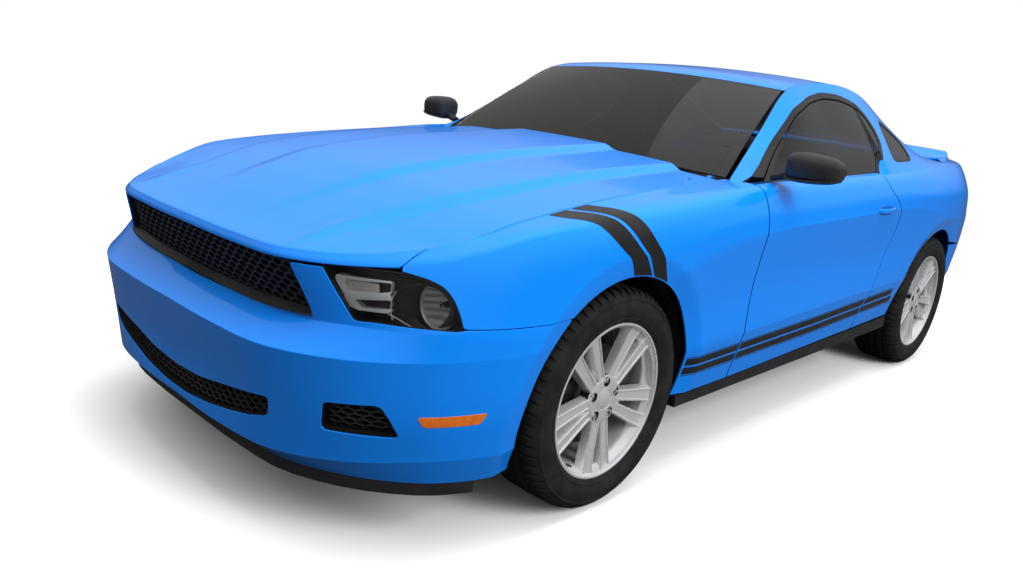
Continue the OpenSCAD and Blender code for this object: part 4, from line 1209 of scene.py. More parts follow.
def tyre():
    """Tyre with shoulder blocks cut across its tread."""
    prof = np.array(TYRE_HALF + [(r, -z) for r, z in TYRE_HALF[::-1]] + TYRE_BORE, float)
    ang = np.concatenate([k + BLOCK_STEPS for k in range(BLOCKS)]) * 2 * math.pi / BLOCKS
    cut = np.tile(BLOCK_CUTS, BLOCKS)
    az = np.abs(prof[:, 1])
    shoulder = (prof[:, 0] > 325) & (az > 59) & (az < 108)
    deep = np.where(shoulder, CUT_DEPTH * ease((108 - az) / 12), 0)
    skew = CUT_SKEW * np.clip((az - 59) / 45, 0, 1) * np.sign(prof[:, 1])
    R = prof[None, :, 0] - deep[None, :] * cut[:, None]
    T = ang[:, None] + skew[None, :]
    Z = np.broadcast_to(prof[None, :, 1], R.shape)
    P = np.stack([R * np.cos(T), R * np.sin(T), Z], -1).reshape(-1, 3)
    n, m = R.shape
    faces = [[i * m + j, ((i + 1) % n) * m + j, ((i + 1) % n) * m + (j + 1) % m, i * m + (j + 1) % m]
             for i in range(n) for j in range(m)]
    if volume(P, faces) < 0:
        faces = [f[::-1] for f in faces]
    return Piece(P, faces, 38)


# Rim: barrel with a rolled lip, five pairs of arms, hub with nut pockets and a plain cap
BARREL = [(247, 96), (247.2, 101), (246, 104), (242.5, 105.5), (239, 104.6), (236.5, 101.5), (235.2, 97),
          (233.5, 90), (229, 82), (222, 72), (217, 58), (214, 30), (213, -20), (214, -70), (222, -92),
          (236, -100), (246, -102), (247, -96), (228, -92), (222, -60), (220, 0), (221, 50), (226, 74)]
# Plate behind the hub face, black as painted shade at the foot of the nut pockets.
HUB_BACK = [(20, 56), (80, 56), (80, 62), (20, 62)]
CAP = [(0, 88.6), (12, 88.2), (22, 87), (28, 85.2), (30.5, 83), (31.2, 80), (31.2, 70), (0, 70)]
CAP_RING = [(31.6, 84.2), (33.4, 85.6), (36, 85.6), (37.4, 84.2), (37.4, 78), (31.6, 78)]
VALVE = [(0, 96), (2.2, 95), (3.0, 92), (3.0, 74), (0, 74)]
NUT_CIRCLE, NUT_POCKET = 57.0, 15.0
ARMS = 5


def turn(degrees):
    a = math.radians(degrees)
    c, s = math.cos(a), math.sin(a)
    return np.array([[c, -s, 0], [s, c, 0], [0, 0, 1.0]])


def arm(side):
    """One of a pair of arms, from the hub to the lip, with a shallow channel along its face."""
    rows = []
    for f in np.linspace(0, 1, 15):
        r = mix(48, 233, f)
        c = side * mix(17.5, 44.5, ease(f * 0.9 + 0.05) * 0.35 + f * 0.65)
        w = mix(16.0, 23.0, f)
        z = mix(81.5, 92.5, f ** 1.4) + (2.0 * ease((f - 0.86) / 0.14))
        deepest = mix(30, 34, f)
        sec = [(-w - 3.5, -deepest), (-w - 1.2, -7), (-w, -1.8), (-w + 2.0, 0), (-w + 6.0, 0),
               (-w + 8.0, -2.2), (w - 9.0, -3.4), (w - 6.5, -0.4), (w - 2.0, 0), (w, -1.8),
               (w + 1.2, -7), (w + 3.5, -deepest)]
        if side < 0:
            sec = [(-a, b) for a, b in sec[::-1]]
        rows.append([(r, c + a, z + b) for a, b in sec])
    return Piece(*rows_solid(rows), 28)


def bridge(stations):
    """Flat bar between a pair of arms through stations of r, half width, top and foot."""
    return Piece(*rows_solid([[(r, -h, top), (r, h, top), (r, h, low), (r, -h, low)]
                              for r, h, top, low in stations]), 28)


def nut():
    corners = [(math.cos(math.radians(60 * k)), math.sin(math.radians(60 * k))) for k in range(6)]
    return Piece(*rows_solid([[(q * x, q * y, z) for x, y in corners]
                              for q, z in ((9.6, 60), (9.6, 78), (8.6, 80), (5.5, 82.4), (2.0, 83))]), 30)


def hub_at(a, r):
    return np.stack([r * np.cos(a), r * np.sin(a), 84.5 - 5.5 * ease((r - 60) / 19) ** 1.5], -1)


def hub(nuts):
    """Hub face with open nut pockets: its face, and its walls in black as painted shade inside the pockets.
    """
    rr = np.linspace(24, 79, 16)
    pt = patch(hub_at, np.linspace(0, 2 * math.pi, 121), rr)
    last = 120 * len(rr)
    pt.polys = [[i % last for i in p] for p in pt.polys]
    if pt.N[:, 2].mean() < 0:
        pt.N = -pt.N
        pt.polys = [p[::-1] for p in pt.polys]
    pockets = np.min([np.hypot(pt.P[:, 0] - x, pt.P[:, 1] - y) - NUT_POCKET for x, y, _ in nuts], axis=0)
    s = Soup()
    # The pocket walls take material 1, black, as painted shade inside the pockets.
    s.shell(pt.trim(pockets), t=26, c=1.0, rim=1)
    parts = []
    for mat in (0, 1):
        pick = [i for i, q in enumerate(s.mats) if q == mat]
        parts.append(Piece(np.vstack(s.P), [s.faces[i] for i in pick], norms=[s.norms[i] for i in pick]))
    return parts


def wheels():
    nuts = [turn(126 + 72 * k) @ np.array([NUT_CIRCLE, 0, 0]) for k in range(5)]
    valve_at = turn(54) @ np.array([224, 0, 0])
    spokes = [arm(1), arm(-1),
              bridge([(r, h, 74 + d, 52) for r, h, d in
                      ((44, 18, 6), (70, 20, 5), (92, 22, 2), (104, 23, -3), (110, 24, -9))]),
              bridge([(r, h, z, z - 16) for r, h, z in ((214, 62, 80), (224, 64, 88), (232, 65, 92))])]
    hub_face, hub_walls = hub(nuts)
    bright = [Piece(*turned(BARREL, 120), 40), hub_face]
    bright += [Piece(*turned(prof, 72), 25) for prof in (CAP, CAP_RING)]
    # Black pieces: the pocket walls and the plate behind the hub, painted shade in the nut pockets.
    dark = [hub_walls, Piece(*turned(HUB_BACK, 72), 30)]
    tread, bolt, valve = tyre(), nut(), Piece(*turned(VALVE, 20), 30)
    for name, A, t in WHEELS:
        s = Soup()
        tread.put(s, A, t)
        s.object(name + "_tread", "rubber", name + "_wheel", "tyre", [name + "_tyre"])
        s = Soup()
        for k in range(ARMS):
            for piece in spokes:
                piece.put(s, A @ turn(90 + 72 * k), t)
        for mat, pieces in enumerate((bright, dark)):
            for piece in pieces:
                piece.put(s, A, t, mat)
        for at in nuts:
            bolt.put(s, A, t + A @ at, 2)
        valve.put(s, A, t + A @ valve_at, 1)
        s.object(name + "_wheel_face", "alloy black chrome", name + "_wheel", "alloy", [name + "_rim"])


# Brake discs: ring with a vent groove, and a hat
DISC = [(60, 27), (66, 43), (74, 43), (78, 38), (80, 29), (90, 28.4), (155, 28.4), (158, 27), (158, 20),
        (146, 19), (146, 15), (158, 14), (158, 7), (155, 6), (60, 6)]


def brake_discs():
    disc = Piece(*turned(DISC, 96), 30)
    for name, A, t in WHEELS:
        s = Soup()
        disc.put(s, A, t)
        s.object(name + "_brake_disc", "iron", name + "_wheel", "iron", [name + "_disc"])


wheels()
brake_discs()


# Lamps: a clear cover over an open tray, a round bowl in a tube, and two boxes with bright surrounds
TRAY_WALL = 2.0
LAMP_DEPTH = 92.0


def tray(s, pt, d0, d1, floor=True):
    """Open dish behind a patch: walls from depth d0 to d1, with or without a floor."""
    P, N, polys = pt.P, pt.N, pt.polys
    n = len(P)
    edges, out = pt.border()
    ring = (np.linalg.norm(out, axis=1) > 0)[:, None]
    inn = np.where(ring, P - out * TRAY_WALL, P)
    R = np.vstack([P - N * d0, P - N * (d1 + 2), inn - N * d0, inn - N * d1])
    strips = [(0, 1, out), (3, 2, -out), (2, 0, N)]
    if floor:
        s.add(R, [[3 * n + i for i in p] for p in polys], [[N[i] for i in p] for p in polys])
        s.add(R, [[n + i for i in p[::-1]] for p in polys], [[-N[i] for i in p[::-1]] for p in polys])
    else:
        strips.append((1, 3, -N))
    for a, b, v in strips:
        s.add(R, [[a * n + j, a * n + i, b * n + i, b * n + j] for i, j in edges],
              [[v[j], v[i], v[i], v[j]] for i, j in edges])


def uv_patch(F, us, vs, scale):
    """Patch of F, and the scaled u and v of its points, in which outlines are drawn."""
    a, b = np.meshgrid(us, vs, indexing="ij")
    return patch(F, us, vs), np.stack([a.ravel(), b.ravel()], 1) * scale


LAMP_FACE = patch(loft, even(2.3, 4.75, 9), np.linspace(3.85, 5.12, 46))
IN_LAMP = -sdf(corner(LAMP_FACE.P), LAMP)
COVER = LAMP_FACE.trim(IN_LAMP - 2.0).moved(-1.5)
DISH = LAMP_FACE.trim(IN_LAMP - 2.6)
skin("lamp_covers", COVER, "lens", "lamp_clear", ["headlamps"], 2, t=3.0, c=0.8)

# Round bowl: the middle of its mouth, its axis, and two directions square to it
EYE = np.array([2050.0, 752, 683])
EYE_TURN = math.radians(5)
AXIS = np.array([math.cos(EYE_TURN), math.sin(EYE_TURN), 0])
E1, E2 = np.array([-AXIS[1], AXIS[0], 0]), np.array([0, 0, 1.0])
EYE_AXES = np.stack([E1, E2, AXIS], 1)
BOWL_AT = EYE - AXIS * 10
TUBE_R, TUBE_FRONT = 62.0, 94.0
BOWL_R, BOWL_FLAT, BOWL_STEPS = 54.2, 12.0, 7
BOWL_RING = [(54.5, 0), (55.5, 4), (58.5, 6), (61.4, 5), (61.6, 0), (61.6, -5), (54.5, -5)]
BULB = [(0, -8), (5, -9), (8.5, -13), (10, -20), (10, -52), (0, -52)]


def tube_at(th, l):
    around = np.cos(th)[..., None] * E1 + np.sin(th)[..., None] * E2
    return EYE + AXIS * l[..., None] + TUBE_R * around


def behind(P):
    """Depth of points behind the lamp cover."""
    out = np.zeros(len(P))
    for k in range(0, len(P), 400):
        d = P[k:k + 400, None, :] - COVER.P[None]
        j = (d * d).sum(2).argmin(1)
        out[k:k + 400] = -((P[k:k + 400] - COVER.P[j]) * COVER.N[j]).sum(1)
    return out


def in_lamp_body(P):
    """Field that is positive well inside the lamp."""
    return smallest(behind(P) - 7, -sdf(corner(P), LAMP) - 5)


def lamp_bodies():
    """Tray with a round hole in its floor, and the tube that leads from it."""
    s = Soup()
    for _, sign in SIDES:
        tray(s, DISH.on(sign), 6, LAMP_DEPTH, False)
    deep = DISH.P - DISH.N * LAMP_DEPTH - EYE
    off = np.linalg.norm(deep - (deep @ AXIS)[:, None] * AXIS, axis=1)
    both(s, DISH.trim(off - TUBE_R - 1).moved(2 - LAMP_DEPTH), t=3, c=0.4)
    tube = patch(tube_at, np.linspace(2 * math.pi, 0, 97), np.linspace(-14, TUBE_FRONT, 40))
    tube = tube.trim(in_lamp_body(tube.P))
    if (tube.N * (tube.P - EYE)).sum() > 0:
        tube = Patch(tube.P, -tube.N, [p[::-1] for p in tube.polys])
    both(s, tube, t=2.0, c=0.3)
    s.object("lamp_bodies", "shroud", "body", "black_trim")


def lamp_reflectors():
    """Stepped bowl with flat facets, and its bulb."""
    bowl = [(54.6, -5), (54.6, -2)]
    radii = np.linspace(BOWL_R, BOWL_FLAT, BOWL_STEPS + 1)
    for r0, r1 in zip(radii[:-1], radii[1:]):
        bowl += [(r0, -2 - 46 * (1 - (r0 / BOWL_R) ** 2)), (r1 + 1.2, -4 - 46 * (1 - (r1 / BOWL_R) ** 2))]
    bowl += [(BOWL_FLAT, -52), (0, -52), (0, -56), (56, -56), (56, -5)]
    q = placed(turned(bowl, 20), EYE_AXES, BOWL_AT)
    s = Soup()
    for P, faces in (q, flipped(*q)):
        s.add(P, faces)
    pair(s, placed(turned(BULB, 32), EYE_AXES, BOWL_AT), 1)
    s.object("lamp_reflectors", "reflector chrome", "body", "lamp_clear")


lamp_bodies()
lamp_reflectors()

# Two boxes beside the bowl, drawn in u and v of the body surface
BOX_SCALE = np.array([190, 165])
BOX, BOX_UV = uv_patch(loft, np.linspace(2.6, 3.6, 70), np.linspace(4.2, 4.86, 60), BOX_SCALE)
BRIGHT_LINE = np.array([(3.04, 4.25), (3.2, 4.252), (3.43, 4.26), (3.58, 4.19), (3.72, 4.11), (3.86, 4.05)])


def in_box(pts):
    return -sdf(BOX_UV, fillet(np.array(pts) * BOX_SCALE, 4, 4))


UP_OUT = in_box([(2.71, 4.81), (3.47, 4.78), (3.47, 4.57), (3.28, 4.53), (2.83, 4.48), (2.71, 4.72)])
UP_IN = in_box([(2.83, 4.755), (3.46, 4.755), (3.46, 4.60), (3.28, 4.56), (2.87, 4.555)])
UP_LENS = in_box([(2.83, 4.755), (3.29, 4.72), (3.30, 4.56), (2.87, 4.555)])
LO_OUT = in_box([(2.82, 4.47), (3.47, 4.555), (3.50, 4.30), (3.43, 4.265), (3.04, 4.255), (2.91, 4.30)])
LO_IN = in_box([(2.96, 4.42), (3.47, 4.475), (3.49, 4.33), (3.09, 4.295)])


def lamp_bezels():
    """Bright parts: edge of the tube, ring of the bowl, surrounds of the boxes and a line along the foot."""
    s = Soup()
    th = np.linspace(0, 2 * math.pi, 121)
    rim = tube_at(th, np.full(121, TUBE_FRONT))
    ok = in_lamp_body(rim) > 0
    order = (np.arange(121) + int(np.argmin(ok))) % 120
    arc = [rim[i] for i in order if ok[i]]
    if len(arc) > 4:
        pair(s, pipe(arc, 1.7))
    pair(s, placed(turned(BOWL_RING, 80), EYE_AXES, BOWL_AT))
    for outside, inside in ((UP_OUT, UP_IN), (LO_OUT, LO_IN)):
        both(s, BOX.trim(smallest(outside, -inside)).moved(-18), t=34, c=1.0)
    u, v = BRIGHT_LINE.T
    line = loft(u, v)
    nrm = np.cross(loft(u + 0.01, v) - line, loft(u, v + 0.01) - line)
    nrm /= np.linalg.norm(nrm, axis=1)[:, None]
    pair(s, pipe(line - nrm * 26, 1.6))
    s.object("lamp_bezels", "bezel", "body", "lamp_clear")


def lamp_boxes():
    s = Soup()
    both(s, BOX.trim(UP_LENS).moved(-26), t=6, c=0.6, mat=0)
    both(s, BOX.trim(LO_IN).moved(-44), t=5, c=0.6, mat=1)
    both(s, BOX.trim(smallest(UP_IN, -UP_LENS - 1)).moved(-46), t=4, c=0.6, mat=1)
    s.object("lamp_boxes", "ribbed smoke", "body", "lamp_clear")


lamp_bezels()
lamp_boxes()


# Grilles: hexagonal cells laid on the nose
def on_nose(y, z, v0):
    """Points and normals of the nose at y and z, searched for from ring v0."""
    y, z = np.asarray(y, float), np.asarray(z, float)
    us = np.linspace(-4.4, 4.4, 300)
    u = np.interp(y, loft(us, np.full(300, v0))[:, 1], us)
    v = np.full(y.shape, float(v0))
    for _ in range(12):
        p = loft(u, v)
        a = (loft(u + 1e-3, v) - p)[:, 1:] * 1e3
        b = (loft(u, v + 1e-3) - p)[:, 1:] * 1e3
        e = np.stack([y, z], 1) - p[:, 1:]
        det = a[:, 0] * b[:, 1] - a[:, 1] * b[:, 0]
        u = u + np.clip((e[:, 0] * b[:, 1] - e[:, 1] * b[:, 0]) / det, -0.3, 0.3)
        v = np.clip(v + np.clip((a[:, 0] * e[:, 1] - a[:, 1] * e[:, 0]) / det, -0.3, 0.3), 0.2, 5.6)
    p = loft(u, v)
    n = np.cross(loft(u + 1e-3, v) - p, loft(u, v + 1e-3) - p)
    return p, n / np.linalg.norm(n, axis=1)[:, None]


def cell_centres(line, pitch, row, sag):
    """Staggered places inside an outline, in rows that rise to the sides by sag."""
    lo, hi = line.min(0), line.max(0)
    cells = []
    for k in range(-1, int((hi[1] - lo[1]) / row) + 2):
        for i in range(-2, int((hi[0] - lo[0]) / pitch) + 3):
            c = np.array([lo[0] + (i + 0.5 * (k % 2)) * pitch, lo[1] + k * row])
            c[1] += sag * (c[0] / 480) ** 2
            if sdf(c[None], line)[0] < -2:
                cells.append(c)
    return cells


def drawn_in(g, c, line):
    """Corners of a cell drawn towards its middle until they lie inside the outline."""
    g = g.copy()
    for _ in range(6):
        bad = sdf(g, line) > -0.5
        g[bad] = mix(g[bad], c, 0.22)
    return g


def honeycomb(s, line, v0, pitch, row, wall, depth, thick, sag=0.0):
    """Cells of a mesh inside an outline in y and z, each a ring of walls."""
    w, h = pitch / 2, row * 2 / 3
    hexa = np.array([[0, h], [-w, h / 2], [-w, -h / 2], [0, -h], [w, -h / 2], [w, h / 2]])
    shrink = np.minimum(1 - wall / np.array([[h], [w], [w], [h], [w], [w]]), 1 - wall / h)
    cells = cell_centres(line, pitch, row, sag)
    a = np.vstack([drawn_in(c + hexa, c, line) for c in cells])
    b = np.vstack([drawn_in(c + hexa * shrink, c, line) for c in cells])
    pa, na = on_nose(a[:, 0], a[:, 1], v0)
    pb, nb = on_nose(b[:, 0], b[:, 1], v0)
    back = depth + thick
    layers = np.stack([pa - na * (depth + 1.5), pb - nb * depth, pb - nb * back, pa - na * back])
    faces = [[6 * m + j, 6 * m + k, 6 * ((m + 1) % 4) + k, 6 * ((m + 1) % 4) + j]
             for j, k in ((j, (j + 1) % 6) for j in range(6)) for m in range(4)]
    for c in range(len(cells)):
        q = layers[:, 6 * c:6 * c + 6].reshape(-1, 3)
        turned_out = volume(q - q.mean(0), faces) > 0
        s.add(q, faces if turned_out else [f[::-1] for f in faces])


def grille_meshes():
    s = Soup()
    honeycomb(s, GRILLE, 4.5, 40, 17, 3.2, 22, 14)
    honeycomb(s, LOW, 1.6, 36, 14.5, 2.8, 20, 12, 70.0)
    duct = Soup()
    honeycomb(duct, DUCT, 1.8, 30, 14, 2.6, 22, 10)
    q = np.vstack(duct.P), duct.faces
    for P, faces in (q, flipped(*q)):
        s.add(P, faces)
    s.object("grille_meshes", "mesh_black", "body", "black_trim", ["grilles"])


def grille_backs():
    """Trays behind the meshes, near black as painted shade."""
    wide, narrow = np.linspace(-3.4, 3.4, 150), np.linspace(2.2, 4.6, 60)
    s = Soup()
    for line, us, v0, d0 in ((GRILLE, wide, 4.5, 5.0), (LOW, wide, 1.6, 4.0), (DUCT, narrow, 1.8, 4.0),
                             (DUCT[::-1] * [-1, 1], -narrow[::-1], 1.8, 4.0)):
        pt = patch(loft, us, np.linspace(max(v0 - 1.3, 0.2), min(v0 + 0.9, 5.4), 54))
        tray(s, pt.trim(-sdf(yz(pt.P), line) - 0.6), d0, 44)
    s.object("grille_backs", "painted_shade", "body", "black_trim")


def grille_lip():
    """Lip along the foot of the upper grille."""
    y = np.linspace(-536, 536, 81)
    z = np.interp(np.abs(y), [0, 300, 536], [600, 604, 621.5])
    pf, nf = on_nose(y, z + 1.5, 4.1)
    pb, nb = on_nose(y, z + 15, 4.2)
    up = np.array([0, 0, 2.0])
    rows = [pf - nf * 1.0, pf + nf * 3.5 + up, pf + nf * 2.0 + 3 * up, pb - nb * 24, pb - nb * 27 - 3 * up,
            pf - nf * 8 - up]
    s = Soup()
    s.solid(rows_solid(np.stack(rows, 1)), 0, 30)
    s.object("grille_lip", "black", "body", "black_trim")


def marker_lenses():
    """Amber markers on the corners of the nose."""
    pt = patch(loft, np.linspace(3.6, 5.5, 80), np.linspace(1.6, 2.6, 40))
    line = fillet([[2123, 421], [1962, 428], [1976, 399], [2108, 394]], 6)
    pt = pt.trim(-sdf(xz(pt.P), line)).moved(1.2)
    skin("marker_lenses", pt, "amber", "lamp_amber", ["side_markers"], 2, t=7, c=1.2)


grille_meshes()
grille_backs()
grille_lip()
marker_lenses()


# Stripes: films on the skin
FILM = {"t": 0.9, "c": 0.2}
FILM_UP = 0.8
STRIPE_X = [-1060, -690, -93, 755]
STRIPE_TOP, STRIPE_LOW = [424, 434, 450, 486], [350, 355, 366, 402]
BANDS = [(0.0, 0.03), (0.075, 0.42), (0.53, 0.885), (0.94, 0.97)]
HASH_SCALE = np.array([390, 85])
HASHES = [[(6.3, 6.06), (6.51, 5.98), (6.63, 5.57), (7.06, 3.99), (7.2, 3.45), (7.3, 2.9), (7.0, 2.9),
           (6.97, 3.69), (6.88, 4.14), (6.4, 5.52)],
          [(6.55, 6.03), (6.74, 6.01), (6.88, 5.57), (7.29, 3.75), (7.43, 3.01), (7.46, 2.7), (7.3, 2.9),
           (7.235, 3.4), (7.1, 3.96), (6.68, 5.57)]]


def side_point(x, z, rows):
    """Points of the side at x and z, searched for between the given rings."""
    u = u_at(x).ravel()
    zz = loft(u[:, None] + 0 * rows, rows + 0 * u[:, None])[..., 2]
    v = np.array([np.interp(t, row, rows) for t, row in zip(z.ravel(), zz)])
    return loft(u, v).reshape(x.shape + (3,))


def stripe_at(x, f):
    top, low = np.interp(-x, STRIPE_X, STRIPE_TOP), np.interp(-x, STRIPE_X, STRIPE_LOW)
    return side_point(x, mix(top, low, f), np.linspace(0, 1.6, 33))


def side_bands(body, doors):
    """Bands along the sills, split where the door's edges cross them."""
    for f0, f1 in BANDS:
        z = mix(430, 360, (f0 + f1) / 2)
        front_x = FRONT_X - math.sqrt((ARCH_R + 6) ** 2 - (z - 30 - WHEEL_Z) ** 2)
        rear_x = float(door_rear(z + 20))
        runs = [(False, front_x, 718.0), (True, 702.0, rear_x + 4), (False, rear_x - 12, -752 - 45 * f0)]
        for on_door, x0, x1 in runs:
            xs = np.linspace(x0, x1, max(8, int((x0 - x1) / 14)))
            pt = patch(flared(stripe_at), xs, np.linspace(f1, f0, 4)).moved(FILM_UP)
            for side, sign in SIDES:
                (doors[side] if on_door else body).shell(pt.on(sign), **FILM)


def hash_bands(s):
    """Two slanted bands over the left front fender."""
    vs = crisp(np.linspace(2.7, 5.97, 90), (3,))
    pt, uv = uv_patch(flared(loft), np.linspace(6.2, 7.6, 90), vs, HASH_SCALE)
    for line in HASHES:
        inside = -sdf(uv, fillet(np.array(line) * HASH_SCALE, 3, 3))
        s.shell(pt.trim(smallest(inside, arch(pt.P, FRONT_X) - 3)).moved(FILM_UP), **FILM)


def stripes():
    body, doors = Soup(), {side: Soup() for side, _ in SIDES}
    side_bands(body, doors)
    hash_bands(body)
    body.object("body_stripes", "stripe", "body", "black_trim")
    for side, _ in SIDES:
        doors[side].object(side + "_door_stripes", "stripe", side + "_door", "black_trim")


stripes()

# Mirrors: sections across the pod as y, x, z, half length and half height
POD = [(899, 578, 1064, 10, 14), (902, 576, 1065, 34, 32), (908, 574, 1066, 50, 44), (920, 571, 1066, 60, 51),
       (945, 569, 1067, 65, 54), (980, 566, 1067, 65, 53), (1015, 563, 1067, 62, 50),
       (1048, 559, 1067, 55, 45), (1068, 556, 1067, 45, 37), (1080, 552, 1067, 32, 26),
       (1086, 548, 1067, 16, 12)]
POD_REAR, POD_LIP_REAR = 509.0, 507.5


def oval(n, p):
    """Rounded square of power p and half width 1."""
    t = np.linspace(0, 2 * math.pi, n, endpoint=False)
    c, s = np.cos(t), np.sin(t)
    return np.stack([np.sign(c) * np.abs(c) ** (2 / p), np.sign(s) * np.abs(s) ** (2 / p)], 1)


def mirror_parts():
    """Pod, band along its foot, mirror glass and stalk, as solid, material and angle."""
    pod = [[(max(x + a, POD_REAR), y, z + b) for a, b in oval(36, 3.0) * [hx, hz]] for y, x, z, hx, hz in POD]
    lip = [[(max(x + a, POD_LIP_REAR), y, z - hz * 0.80 + b) for a, b in oval(20, 2.4) * [hx + 2.5, 7.5]]
           for y, x, z, hx, hz in POD[2:-2]]
    face = [[(x, 988 + a * 70 * k, 1067 + b * 38 * k) for a, b in oval(40, 4.0)]
            for x, k in ((511, 1.0), (508.4, 1.0), (507.6, 0.97))]
    stalk = [[(577 + a * mix(22, 17, f), mix(846, 912, f), mix(1016, 1036, f) + b * mix(13, 15, f))
              for a, b in oval(24, 2.6)] for f in np.linspace(0, 1, 7)]
    parts = ((pod, 0, 50), (lip, 1, 50), (face, 2, 30), (stalk, 1, 50))
    return [(rows_solid(rows), mat, angle) for rows, mat, angle in parts]


# Door grips: a bar from front to rear, a lock behind it and a cup under it in darker blue, painted shade in
# the recess
GRIP_X, GRIP_Z = (-272, -446), 881
LOCK = [(0, 7), (6, 6.6), (9, 5), (10, 2), (10, -6), (0, -6)]
LOCK_AT = [-462, 934, 881]
CUP = fillet([[-290, 864], [-428, 864], [-428, 898], [-290, 898]], 16, 6)


def grip_bar():
    rows = []
    for f in np.linspace(0, 1, 25):
        x = mix(*GRIP_X, f)
        end = min(f, 1 - f)
        y = mix(936, 950.5, ease(end / 0.22))
        k = 0.55 + 0.45 * ease(end / 0.06)
        rows.append([(x, y + a * 5.5 * k, GRIP_Z + b * 10.5 * k) for a, b in oval(20, 2.4)])
    return rows_solid(rows)


def grip_cup():
    pt = patch(lambda x, z: side_point(x, z, np.linspace(2.4, 4.2, 60)), np.linspace(-285, -432, 40),
               np.linspace(862, 900, 16))
    pt.N = np.tile([0, 1.0, 0], (len(pt.P), 1))
    if facing(pt.P[pt.polys[0]])[1] < 0:
        pt.polys = [p[::-1] for p in pt.polys]
    return pt.trim(-sdf(xz(pt.P), CUP)).moved(0.5)


def door_trim():
    mirror = mirror_parts()
    sail = CAB.trim(smallest(IN_DOOR_GLASS - 1, IN_DOOR_WIN - 26, AHEAD - 0.5)).moved(-1.5)
    grip, cup = grip_bar(), grip_cup()
    lock = placed(turned(LOCK, 36), ACROSS, LOCK_AT)
    for side, sign in SIDES:
        s = Soup()
        for q, mat, angle in mirror:
            s.solid(q, mat, angle, sign)
        s.object(side + "_mirror_shell", "mirror_shell black chrome", side + "_door", "black_trim",
                 [side + "_mirror"])
        s = Soup()
        s.shell(sail.on(sign), t=7, c=1.0)
        s.object(side + "_door_sail", "seal", side + "_door", "black_trim")
        s = Soup()
        s.solid(grip, 0, 50, sign)
        s.solid(lock, 1, sign=sign)
        # The cup takes the darkened blue, painted shade under the grip.
        s.shell(cup.on(sign), t=0.9, c=0.3, mat=2)
        s.object(side + "_door_grip", "paint chrome cup", side + "_door", "paint")


door_trim()

# Tail lamps of three bars, exhaust tips and a blank plate field
LAMP_BARS = ((433, 511), (525, 603), (617, 697))
TIP = [(30, 0), (33, 3), (36, 2), (37.5, -2), (38, -10), (37, -90), (34.5, -96), (34.5, -60),
       (31, -60), (30.5, -8)]
TIP_AT = [-2384, 410, 222]
REARWARD = np.array([[0, 0, -1], [0, 1, 0], [1, 0, 0]], float)
PLATE = fillet([[-255, 470], [255, 470], [235, 570], [-235, 570]], 18, 6)


def tail_trim():
    in_lamp = -sdf(ayz(TAIL_FACE.P), TAIL)
    y = np.abs(TAIL_FACE.P[:, 1])
    s = Soup()
    for y0, y1 in LAMP_BARS:
        s.shell(TAIL_FACE.trim(smallest(in_lamp - 3, y - y0, y1 - y)).moved(-2), t=18, c=2.0)
    s.object("tail_lamp_bars", "red", "body", "lamp_red", ["tail_lamps"])
    s = Soup()
    pair(s, placed(turned(TIP, 48), REARWARD, TIP_AT))
    s.object("exhaust_tips", "chrome", "body", "steel")
    s = Soup()
    # Near-black tray behind the bars, painted shade between and around them.
    tray(s, TAIL_FACE.trim(in_lamp - 0.8), 4, 26)
    s.object("tail_lamp_backs", "painted_shade", "body", "black_trim")
    pt = patch(loft, np.linspace(LAST - 1.2, LAST + 1.2, 70), np.linspace(1.1, 2.4, 30))
    pt = pt.trim(-sdf(yz(pt.P), PLATE)).moved(0.8)
    skin("plate_field", pt, "black", "black_trim", t=3, c=0.8)


tail_trim()


# Seats: crowned cushions swept across from side outlines
SEAT_Y = 370.0
SEAT_BASE = [[60, 306], [470, 336], [490, 412], [436, 440], [52, 400]]
SEAT_BACK = [[44, 412], [140, 424], [-58, 892], [-142, 884], [-84, 640]]
SEAT_HEAD = [[-80, 908], [-142, 901], [-192, 1052], [-134, 1066]]
SEAT_FRAME = fillet([[84, -196], [396, -196], [396, 196], [84, 196]], 24, 5)
REAR_BASE = [[-456, 344], [-484, 492], [-844, 464], [-788, 424], [-568, 342]]
REAR_BACK = [[-770, 484], [-872, 478], [-1080, 990], [-1066, 986]]
CHANNELS = (-0.45, 0.45)
CHANNEL_DEPTH, CHANNEL_WIDTH = 3.0, 0.035


def cushion(name, line, y0, y1, r, crown, replaces, sewn=False):
    """Padded piece between y0 and y1 that swells by crown, with two sewn channels or none."""
    line = fillet(line, r, 6)
    c = line.mean(0)
    d = line - c
    L = np.linalg.norm(d, axis=1)[:, None]
    rows = []
    for t in np.sin(np.linspace(-1, 1, 37) * math.pi / 2):
        w = min(abs(t), 0.9985)
        k = (1 - w ** 5) ** (1 / 5)
        fat = crown * (1 - w ** 2)
        if sewn:
            fat -= CHANNEL_DEPTH * sum(math.exp(-((t - g) / CHANNEL_WIDTH) ** 2) for g in CHANNELS)
        q = c + d * (0.16 + 0.84 * k) + d / L * fat * k
        rows.append([(a, mix(y0, y1, (t + 1) / 2), b) for a, b in q])
    s = Soup()
    s.solid(rows_solid(rows), 0, 50)
    s.object(name, "seat", "body", "seat", replaces)


